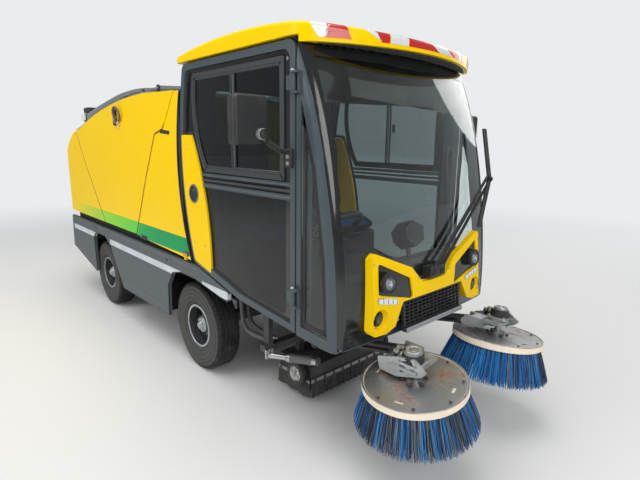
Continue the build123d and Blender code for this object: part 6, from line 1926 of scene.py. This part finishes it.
@dataclass
class NozzleDressing:
    """Rubber flaps round the suction nozzle, its bolted clamps, and the small silver-rimmed wheels."""

    wheel: Triple = (775, 372, 186)

    def flap(self, start: np.ndarray, end: np.ndarray, top: float, low: float, out: np.ndarray) -> Shape:
        """A hanging rubber strip: its lower edge sways out by a sine of the distance along it."""
        u, v = lattice(np.linspace(0, 1, 33), np.linspace(0, 1, 7))
        base = start + (end - start) * u[..., None]
        height = top + (low - top) * v
        sway = 0.004 * v ** 2 * np.sin(u * 17) + 0.006 * v ** 1.5
        outer = base + out * (0.006 + sway)[..., None]
        outer[..., 2] = height
        inner = outer - out * 0.0045
        return shell(outer, inner, 0)

    def flaps(self) -> list[Shape]:
        """Flaps on the nozzle's front and sides, each under a bolted steel clamp."""
        made = []
        cuts = np.linspace(-330, 330, 7)
        for a, b in zip(cuts, cuts[1:]):
            made.append(self.flap(here(850, a + 2, 0), here(850, b - 2, 0), 0.150, 0.046,
                                  np.array([1.0, 0, 0])))
        for sign in (-1, 1):
            made.append(self.flap(here(560, sign * 330, 0), here(850, sign * 330, 0), 0.150, 0.046,
                                  np.array([0, float(sign), 0])))
        made.append(block(here(858, -330, 138), here(862, 330, 160), 0.0015, 1))
        for y in np.linspace(-300, 300, 9):
            made.append(hexagon(here(862, y, 149), X, 0.0075, 0.006, 2))
        for sign in (-1, 1):
            low, high = sorted((sign * 337.0, sign * 341.0))
            made.append(block(here(565, low, 138), here(850, high, 160), 0.0015, 1))
            for x in (590, 660, 730, 800):
                made.append(hexagon(here(x, sign * 341, 149), (0, sign, 0), 0.0075, 0.006, 2))
        return made

    def wheel_shapes(self) -> list[Shape]:
        """A ribbed black tyre, a silver dished rim with its hub, and five bolt heads."""
        place = here(*self.wheel)
        tyre = [(0.046, -0.0150), (0.060, -0.0168), (0.069, -0.0160), (0.0732, -0.0115), (0.0736, -0.0060),
                (0.0715, -0.0050), (0.0715, -0.0030), (0.0738, -0.0020), (0.0738, 0.0020), (0.0715, 0.0030),
                (0.0715, 0.0050), (0.0736, 0.0060), (0.0732, 0.0115), (0.069, 0.0160), (0.060, 0.0168),
                (0.046, 0.0150)]
        rim = [(0.0085, -0.0145), (0.020, -0.0145), (0.024, -0.006), (0.040, -0.006), (0.0462, -0.0148),
               (0.0475, -0.0148),
               (0.0475, 0.0148), (0.0462, 0.0148), (0.040, 0.006), (0.024, 0.006), (0.020, 0.0150),
               (0.0085, 0.0150)]
        made = [lathe(tyre, place, Y, 64, loop=True, worn=0), lathe(rim, place, Y, 56, loop=True, worn=1)]
        for angle in circle(5, 0.4):
            made.append(hexagon(place + (0.032 * math.cos(angle), 0.006, 0.032 * math.sin(angle)), Y,
                                0.0045, 0.004, 2))
        return made

    def build(self) -> None:
        """Makes the flaps and both small wheels."""
        piece("nozzle_flaps", self.flaps(), ["black rubber", "screw zinc", "cast iron"], "chassis", "rubber")
        pair("guide_wheel", self.wheel_shapes(), ["black rubber", "bright steel", "screw zinc"],
             "nozzle_caster_{}", "rubber", "nozzle_wheel_{}")
        x, y, z = self.wheel
        nut = [hexagon(here(x, y + 17.5, z), Y, 0.0105, 0.006)]
        piece("guide_wheel_nuts", both(nut), ["screw zinc"], "chassis", "bright_steel")


@dataclass
class StrutDressing:
    """The barrel sleeve, wiper ring, clevis and pins of the silver strut below each door."""

    start: Triple = (776, 572, 366)
    middle: Triple = (875, 515.3, 368)
    end: Triple = (1015, 432, 372)

    def build(self) -> None:
        """Makes both struts' fittings."""
        first, knee, last = here(*self.start), here(*self.middle), here(*self.end)
        along = unit(last - knee)
        sleeve = [(0.0222, 0.0), (0.0262, 0.001), (0.0262, 0.014), (0.0240, 0.016), (0.0240, 0.100),
                  (0.0262, 0.102), (0.0262, 0.120), (0.0222, 0.122)]
        made = [lathe(sleeve, knee + along * 0.012, along, 32, loop=True, worn=0)]
        made.append(lathe([(0.0152, 0), (0.0200, 0.001), (0.0200, 0.010), (0.0152, 0.011)],
                          knee - along * 0.012, along, 28, loop=True, worn=1))
        tip = knee + along * 0.160
        made.append(lathe([(0.0, 0.0), (0.0235, 0.0), (0.0235, 0.012), (0.016, 0.018), (0.0, 0.018)], tip,
                          along, 24, worn=2))
        made.append(hexagon(first + (0.004, 0.006, 0.017), Z, 0.0095, 0.009, 1))
        for z in (352, 394):
            made.append(hexagon(here(778.5, 566, z), X, 0.0085, 0.008, 1))
        pair("strut_dressing", made, ["strut sleeve grey", "screw zinc", "cast iron"], "chassis",
             "bright_steel")


@dataclass
class RearDetails:
    """Tail lamp clusters, a bare plate, the rear door's latches, seal and reflectors."""

    rear_x: float = -2510

    def cluster(self) -> list[Shape]:
        """A rounded black housing with three domed lenses."""
        x = self.rear_x
        made = [block(here(x - 20, 398, 418), here(x - 0.6, 542, 512), 0.008, 0)]
        for worn in (1, 2, 3):
            middle = 376 + 46 * worn
            u, v, rise = dome(13, 15, 0.0075)
            ribs = 0.0005 * np.sin(v * 40)
            base = here(x - 19.5, middle, 465)
            points = np.stack([base[0] - rise + ribs * (rise > 0.004), base[1] + 0.0200 * u,
                               base[2] + 0.040 * v], axis=-1)
            flat = points.copy()
            flat[..., 0] = base[0] + 0.002
            made.append(shell(points, flat, worn))
        return made

    def bare_plate(self) -> list[Shape]:
        """A plate without any marks, in a black holder with two screws."""
        x = (self.rear_x - 0.5) / 1000 + AXLE_X
        outline = rounded(0.30, 0.105, 0.008, 4)
        origin = (x, -0.25, 0.480)
        made = [collar(outline, shrink(outline, 0.006), -0.007, origin, Y, Z, 0.0015, 0)]
        made.append(plate(shrink(outline, 0.0055), -0.003, origin, Y, Z, 0.0008, 4))
        made += [screw((x - 0.003, -0.25 + y, 0.480), (-1, 0, 0), 0.005, 5) for y in (-0.11, 0.11)]
        return made

    def door_fittings(self) -> list[Shape]:
        """Two bar latches with handles low on the rear door, a rubber seal round it, and red reflectors."""
        made = []
        face = -2500
        for sign in (-1, 1):
            y = sign * 455
            made.append(tube([here(face - 9, y, 840), here(face - 9, y, 1120)], 0.007, 12, worn=5))
            for z in (860, 980, 1100):
                made.append(block(here(face - 18, y - 15, z - 12), here(face + 0.5, y + 15, z + 12), 0.003,
                                  0))
            grip = smooth_path([here(face - 12, y, 1045), here(face - 26, y + sign * 14, 1045),
                                here(face - 30, y - sign * 40, 1042),
                                here(face - 26, y - sign * 90, 1040)], 20)
            made.append(tube(grip, np.interp(np.arange(20), [0, 6, 19], [0.006, 0.0075, 0.0095]), 12, worn=0))
            made.append(block(here(face - 5, y - 34, 1290), here(face + 0.5, y + 34, 1352), 0.006, 1))
        outline = rounded(1.150, 0.630, 0.02, 4)
        seal = shrink(outline, -0.002)
        path = np.column_stack([np.full(len(seal), (face + 36.5) / 1000 + AXLE_X), seal[:, 0],
                                seal[:, 1] + 1.150])
        made.append(tube(path, 0.0055, 8, closed=True, worn=4))
        return made

    def build(self) -> None:
        """Makes the rear's details."""
        shapes = both(self.cluster()) + self.bare_plate()
        piece("tail_lamps", shapes, ["black plastic", "red lens", "orange lens", "white reflector",
                                     "bare plate white",
                                     "screw zinc"], "chassis", "lens_red", ("rear_lamps",))
        piece("rear_door_fittings", self.door_fittings(), ["black plastic", "red reflector", "orange lens",
                                                           "white reflector",
                                                           "black rubber", "bright steel"], "rear_door",
              "dark_paint")


@dataclass
class CabInterior:
    """Monitor face, vents, overhead console fittings, grab handles and pedals."""

    console_z: float = 1.8217

    def monitor(self) -> list[Shape]:
        """The monitor's screen on the driver's side, and its back."""
        tilt = math.radians(20)
        normal = np.array([math.cos(tilt), 0, math.sin(tilt)])
        up = (-math.sin(tilt), 0, math.cos(tilt))
        centre = here(1122, 170, 1000)
        outline = soft_corners(np.array([(-70, -14), (-70, 28), (-6, 62), (66, 26), (52, -30), (-22, -56)])
                               / 1000, 0.010, 5)
        made = [plate(outline, -0.0016, centre - normal * 0.0519, Y, up, 0.0005, 0)]
        back = soft_corners(np.array([(-60, -10), (-60, 22), (-4, 50), (54, 20), (42, -24), (-18, -44)])
                            / 1000, 0.010, 5)
        made.append(plate(back, 0.003, centre + normal * 0.0519, Y, up, 0.001, 1))
        return made

    def console(self) -> list[Shape]:
        """Round vents, a lamp and switch row under the overhead console."""
        made = []
        base_z = self.console_z
        for y in (-0.34, -0.16, 0.16, 0.34):
            place = (AXLE_X + 0.94, y, base_z)
            made.append(lathe([(0.038, 0.0), (0.038, 0.006), (0.034, 0.010), (0.028, 0.008), (0.010, 0.006),
                               (0, 0.006)], place,
                              (0, 0, -1), 36, worn=1))
        made.append(block((AXLE_X + 0.90, -0.07, base_z - 0.010), (AXLE_X + 0.98, 0.07, base_z + 0.001),
                          0.006, 2))
        for k in range(6):
            y = -0.15 + 0.06 * k
            made.append(block((AXLE_X + 1.02, y - 0.012, base_z - 0.007),
                              (AXLE_X + 1.05, y + 0.012, base_z + 0.001), 0.003, 0))
        return made

    def grab_handle(self) -> Shape:
        """A padded bar on the front pillar."""
        path = smooth_path([here(1118, 560, 1480), here(1108, 532, 1455), here(1122, 530, 1300),
                            here(1140, 532, 1140), here(1154, 562, 1115)], 36)
        return tube(path, 0.0125, 12, worn=1)

    def controls(self) -> list[Shape]:
        """Column switches, a control lever with its ball, vents on the dash and two pedals."""
        made = []
        for sign in (-1, 1):
            path = [here(1030, -300 + sign * 20, 985), here(1020, -300 + sign * 90, 990),
                    here(1012, -300 + sign * 150, 1000)]
            made.append(tube(path, np.array([0.006, 0.005, 0.007]), 8, worn=1))
        lever = here(700, -20, 1020)
        made.append(tube([here(700, -20, 905), lever], 0.007, 10, worn=3))
        made.append(lathe([(0.0, -0.026), (0.012, -0.024), (0.022, -0.012), (0.026, 0.004), (0.022, 0.020),
                           (0.010, 0.030), (0, 0.031)], lever, Z, 24, worn=1))
        made.append(block(here(610, -70, 902), here(790, 60, 930), 0.015, 1))
        for y in (-460, -120, 330, 450):
            outline = rounded(0.085, 0.034, 0.010, 4)
            place = here(1186, y, 893.5)
            made.append(plate(outline, 0.003, place, Y, (-0.96, 0, -0.16), 0.001, 1))
        for y in (-340, -250):
            made.append(block(here(1010, y - 30, 740), here(1022, y + 30, 800), 0.005, 1))
            made.append(tube([here(1018, y, 770), here(1046, y, 800)], 0.006, 8, worn=3))
        return made

    def build(self) -> None:
        """Makes the cab's inner pieces."""
        grab = self.grab_handle()
        shapes = self.monitor() + self.console() + [grab, grab.mirrored()] + self.controls()
        piece("cab_controls", shapes, ["gloss black", "black plastic", "lamp white", "bright steel"],
              "chassis", "black_plastic")


@dataclass
class SeatPad:
    """One pad of a seat: a crowned closed form, swelled by cloth simulation, then sewn."""

    name: str
    middle: Triple
    size: Triple
    lean: float = 0.0
    bolster: float = 0.135
    channels: tuple[float, ...] = ()
    lift: float = 0.016
    cap: float = 0.018
    voxel: float = 0.010
    frames: int = 20

    def start(self) -> Shape:
        """Two sheets joined at the rim, half x (1 - |a|^7)^(1/3) (1 - |b|^7)^(1/3) high, with raised sides."""
        across = np.sin(np.linspace(-math.pi / 2, math.pi / 2, 41))
        a, b = lattice(across, across)
        length, width, height = (value / 2 - inset for value, inset in zip(self.size, (0.016, 0.016, 0.013)))
        across, along = width * b * (1 - 0.025 * (1 - a * a)), length * a * (1 - 0.025 * (1 - b * b))
        swell = ((1 - np.abs(a) ** 7) * (1 - np.abs(b) ** 7)).clip(0) ** (1 / 3)
        raised = self.lift * step_between(self.bolster - 0.02, self.bolster + 0.03,
                                          np.abs(across)) - 0.5 * self.lift
        top = np.stack([along, across, (height + raised - 0.5 * self.lift) * swell], axis=-1)
        low = np.stack([along, across, -height * swell], axis=-1)
        return shell(top, low)

    @staticmethod
    def read(mesh: bpy.types.Mesh) -> np.ndarray:
        """A mesh's points as an array."""
        values = np.empty(len(mesh.vertices) * 3)
        mesh.vertices.foreach_get("co", values)
        return values.reshape(-1, 3)

    @staticmethod
    def applied(thing: bpy.types.Object) -> bpy.types.Mesh:
        """The object's mesh with its modifiers worked in."""
        graph = bpy.context.evaluated_depsgraph_get()
        return bpy.data.meshes.new_from_object(thing.evaluated_get(graph))

    def swelled(self) -> bpy.types.Mesh:
        """Remeshes the start shape evenly and lets cloth under pressure swell it, with its travel capped."""
        mesh = new_mesh("pad start", self.start())
        tidy_mesh(mesh, 1e-5)
        thing = new_object("pad start", mesh)
        even = thing.modifiers.new("even mesh", "REMESH")
        even.mode, even.voxel_size, even.use_smooth_shade = "VOXEL", self.voxel, True
        base = self.applied(thing)
        bpy.data.objects.remove(thing)
        thing = new_object("pad", base)
        before = self.read(base)
        cloth = thing.modifiers.new("cloth", "CLOTH")
        cloth.settings.use_pressure = True
        cloth.settings.uniform_pressure_force = 4.0
        cloth.settings.quality = 5
        cloth.settings.tension_stiffness = 12
        cloth.settings.bending_stiffness = 0.6
        cloth.settings.effector_weights.gravity = 0
        cloth.collision_settings.use_collision = False
        for step in range(1, self.frames + 1):
            bpy.context.scene.frame_set(step)
        after = self.read(self.applied(thing))
        bpy.context.scene.frame_set(1)
        thing.modifiers.remove(cloth)
        travel = after - before
        far = np.linalg.norm(travel, axis=1, keepdims=True)
        moved = before + travel * np.minimum(1, self.cap / np.maximum(far, 1e-9))
        base.vertices.foreach_set("co", moved.ravel())
        base.update()
        fine = thing.modifiers.new("fine", "SUBSURF")
        fine.levels = fine.render_levels = 1
        result = self.applied(thing)
        bpy.data.objects.remove(thing)
        return result

    def sewn(self, mesh: bpy.types.Mesh) -> np.ndarray:
        """Presses the seams and channels into the top: depth x exp(-(distance / width)^2) along Z."""
        points = self.read(mesh)
        top = step_between(0.0, 0.010, points[:, 2])
        seam = 0.0075 * np.exp(-((np.abs(points[:, 1]) - self.bolster) / 0.0055) ** 2)
        inside = step_between(self.bolster + 0.004, self.bolster - 0.004, np.abs(points[:, 1]))
        for place in self.channels:
            seam = np.maximum(seam, 0.0055 * inside * np.exp(-((points[:, 0] - place) / 0.0060) ** 2))
        points[:, 2] -= seam * top
        half = np.array(self.size) / 2 - 0.0005
        return np.clip(points, -half, half)

    def piping(self, tree: BVHTree) -> list[Shape]:
        """A thin sewn cord along each seam, laid on the swelled top."""
        reach = self.size[0] / 2 - 0.035
        made = []
        for sign in (-1, 1):
            x = np.linspace(-reach, reach, 48)
            places = [tree.ray_cast(Vector((value, sign * self.bolster, 0.3)), Vector((0, 0, -1)))[0]
                      for value in x.tolist()]
            path = np.array([tuple(place) for place in places if place is not None])
            made.append(tube(path + np.array([0, 0, 0.0008]), 0.0022, 8))
        return made

    def place(self, points: np.ndarray, side: Side) -> np.ndarray:
        """Points leaned back about Y, put in place and mirrored for the right-hand seat."""
        c, s = math.cos(self.lean), math.sin(self.lean)
        turned = points @ np.array([[c, 0, s], [0, 1, 0], [-s, 0, c]]).T + here(*self.middle)
        return turned * np.array([1, side.value, 1])

    def build(self) -> None:
        """Makes the pad for both seats from one simulation."""
        mesh = self.swelled()
        local = self.sewn(mesh)
        polygons = [tuple(polygon.vertices) for polygon in mesh.polygons]
        tree = BVHTree.FromPolygons(local.tolist(), polygons)
        centres = np.array([local[list(polygon)].mean(axis=0) for polygon in polygons])
        worn = ((np.abs(centres[:, 1]) > self.bolster) | (centres[:, 2] < 0.0)).astype(np.int32)
        cords = self.piping(tree)
        for side in Side:
            name = f"{self.name}_{side.word}"
            faces = polygons if side is Side.LEFT else [tuple(reversed(polygon)) for polygon in polygons]
            target = new_mesh(name, Shape(self.place(local, side), faces), worn)
            target.polygons.foreach_set("use_smooth", np.ones(len(faces), bool))
            target.materials.append(finish("seat cloth"))
            target.materials.append(finish("seat bolster"))
            thing = new_object(name, target)
            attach(thing, "chassis")
            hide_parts("seats")
            shapes = [Shape(self.place(cord.points, side), cord.faces) for cord in cords]
            piece(f"{self.name}_piping_{side.word}", shapes, ["seat bolster"], "chassis", "seat")
            log.info("%s: %d faces", name, len(faces))
        bpy.data.meshes.remove(mesh)


@dataclass
class Seats:
    """The two seats: cushion, back and head pads on a moulded shell."""

    def shell_shapes(self) -> list[Shape]:
        """The black seat pan, the back's moulded shell and the headrest posts of the left seat."""
        made = [block(here(175, 118, 896), here(588, 512, 913), 0.02, 0)]
        lean = math.radians(-8)
        up = (math.sin(lean), 0, math.cos(lean))
        outline = soft_corners([(-0.185, -0.255), (0.185, -0.255), (0.170, 0.255), (-0.170, 0.255)], 0.06, 8)
        origin = here(200, 315, 1290) + (-0.047, 0, 0.006)
        made.append(plate(outline, -0.012, origin, Y, up, 0.004, 0))
        for y in (265, 365):
            made.append(tube([here(163, y, 1545), here(152, y, 1610)], 0.006, 10, worn=1))
        return made

    def build(self) -> None:
        """Makes the pads and the shells."""
        SeatPad("seat_cushion", (380, 315, 955.5), (0.440, 0.430, 0.109), channels=(-0.13, -0.065, 0.0, 0.065,
                                                                                    0.13)).build()
        back_lean = math.radians(-98)
        SeatPad("seat_back", (200, 315, 1290), (0.560, 0.430, 0.110), lean=back_lean,
                channels=(-0.19, -0.12, -0.05, 0.02, 0.09)).build()
        SeatPad("seat_head", (160, 315, 1620), (0.150, 0.260, 0.080), lean=back_lean, bolster=0.092,
                lift=0.006, cap=0.010).build()
        piece("seat_shells", both(self.shell_shapes()), ["black plastic", "bright steel"], "chassis", "seat",
              ("seats",))


@dataclass
class Studio:
    """The pale floor, the soft light and the camera."""

    eye: Triple = (3.01699, -1.95948, 1.51163)
    azimuth: float = 47.082
    pitch: float = 12.015
    roll: float = 0.765
    focal: float = 458.41
    photo_width: float = 640
    floor_colour: Colour = (0.74, 0.74, 0.73)
    haze: Colour = (0.93, 0.95, 0.97)
    haze_level: float = 0.88
    floor_z: float = -0.0005
    lit: Triple = (0.2, 0, 0.8)

    def camera(self) -> None:
        """Sets the camera where the photograph was taken from."""
        data = bpy.data.cameras.new("camera")
        data.sensor_fit = "HORIZONTAL"
        data.sensor_width = 36.0
        data.lens = self.focal / self.photo_width * data.sensor_width
        data.clip_start = 0.05
        data.clip_end = 100.0
        turn, dip, lean = (math.radians(value) for value in (self.azimuth, self.pitch, self.roll))
        ahead = Vector((-math.sin(turn) * math.cos(dip), math.cos(turn) * math.cos(dip), -math.sin(dip)))
        level = Vector((math.cos(turn), math.sin(turn), 0))
        above = level.cross(ahead)
        right = math.cos(lean) * level + math.sin(lean) * above
        up = -math.sin(lean) * level + math.cos(lean) * above
        thing = new_object("camera", data)
        rotation = Matrix((right, up, -ahead)).transposed().to_4x4()
        thing.matrix_world = Matrix.Translation(self.eye) @ rotation
        bpy.context.scene.camera = thing

    def floor(self) -> None:
        """Lays a wide pale floor."""
        span = np.linspace(-1, 1, 3) * 40
        x, y = lattice(span, span)
        mesh = new_mesh("floor", grid(np.stack([x, y, np.full_like(x, self.floor_z)], axis=-1)[::-1]))
        material, tree = new_material("studio floor")
        shader = tree.add("ShaderNodeBsdfPrincipled", {"Base Color": (*self.floor_colour, 1),
                                                       "Roughness": 0.9, "Specular IOR Level": 0.1})
        distance = tree.add("ShaderNodeVectorMath", {0: tree.place()}, operation="LENGTH").outputs["Value"]
        path = tree.add("ShaderNodeLightPath").outputs
        seen = tree.maths("MAXIMUM", path["Is Camera Ray"], path["Is Transmission Ray"])
        fade = tree.times(tree.ramp(distance, 3.0, 9.5), seen)
        haze = tree.add("ShaderNodeEmission", {"Color": (*self.haze, 1), "Strength": self.haze_level})
        blend = tree.add("ShaderNodeMixShader", {0: fade, 1: shader.outputs[0], 2: haze.outputs[0]})
        tree.add("ShaderNodeOutputMaterial", {0: blend.outputs[0]})
        mesh.materials.append(material)
        new_object("floor", mesh)

    def lights(self) -> None:
        """A large soft lamp above, a fill from the camera's side and a pale surround."""
        for name, place, size, power in (("top lamp", (0.5, -1.5, 7.0), 7.0, 320.0),
                                         ("front lamp", (7.0, -2.5, 4.0), 4.5, 185.0),
                                         ("side lamp", (-2.0, -7.0, 4.0), 5.0, 150.0),
                                         ("far lamp", (1.0, 7.0, 4.5), 5.0, 120.0)):
            data = bpy.data.lights.new(name, "AREA")
            data.shape = "DISK"
            data.size = size
            data.energy = power
            thing = new_object(name, data)
            thing.location = place
            thing.rotation_euler = (Vector(self.lit) - Vector(place)).to_track_quat("-Z", "Y").to_euler()
        world = bpy.data.worlds.new("surround")
        bpy.context.scene.world = world
        world.use_nodes = True
        tree = Tree(world.node_tree)
        path = tree.add("ShaderNodeLightPath").outputs
        seen = tree.maths("MAXIMUM", path["Is Camera Ray"], path["Is Transmission Ray"])
        strength = tree.maths("MULTIPLY_ADD", seen, self.haze_level / 2, self.haze_level / 2)
        strength = tree.maths("SUBTRACT", strength, tree.times(path["Is Glossy Ray"], 0.16))
        back = tree.add("ShaderNodeBackground", {"Color": (*self.haze, 1), "Strength": strength})
        tree.add("ShaderNodeOutputWorld", {0: back.outputs[0]})

    def set(self) -> None:
        """Builds the studio."""
        bpy.context.scene.view_settings.view_transform = "Standard"
        self.camera()
        self.floor()
        self.lights()


def main() -> None:
    """Dresses the nodes, builds the fine pieces and sets the studio."""
    NodeFinishes().dress()
    for maker in (RoadTyre(), WheelFittings(), BrushDressing(), BrowMarkings(), ScreenTrim(), DoorTrim(),
                  MirrorDressing(),
                  FasciaFittings(), HopperTrim(), SkirtTrim(), WheelHousings(), HoseRuns(), NozzleDressing(),
                  StrutDressing(), RearDetails(), CabInterior(), Seats()):
        maker.build()
    Studio().set()


if __name__ == "__main__":
    main()
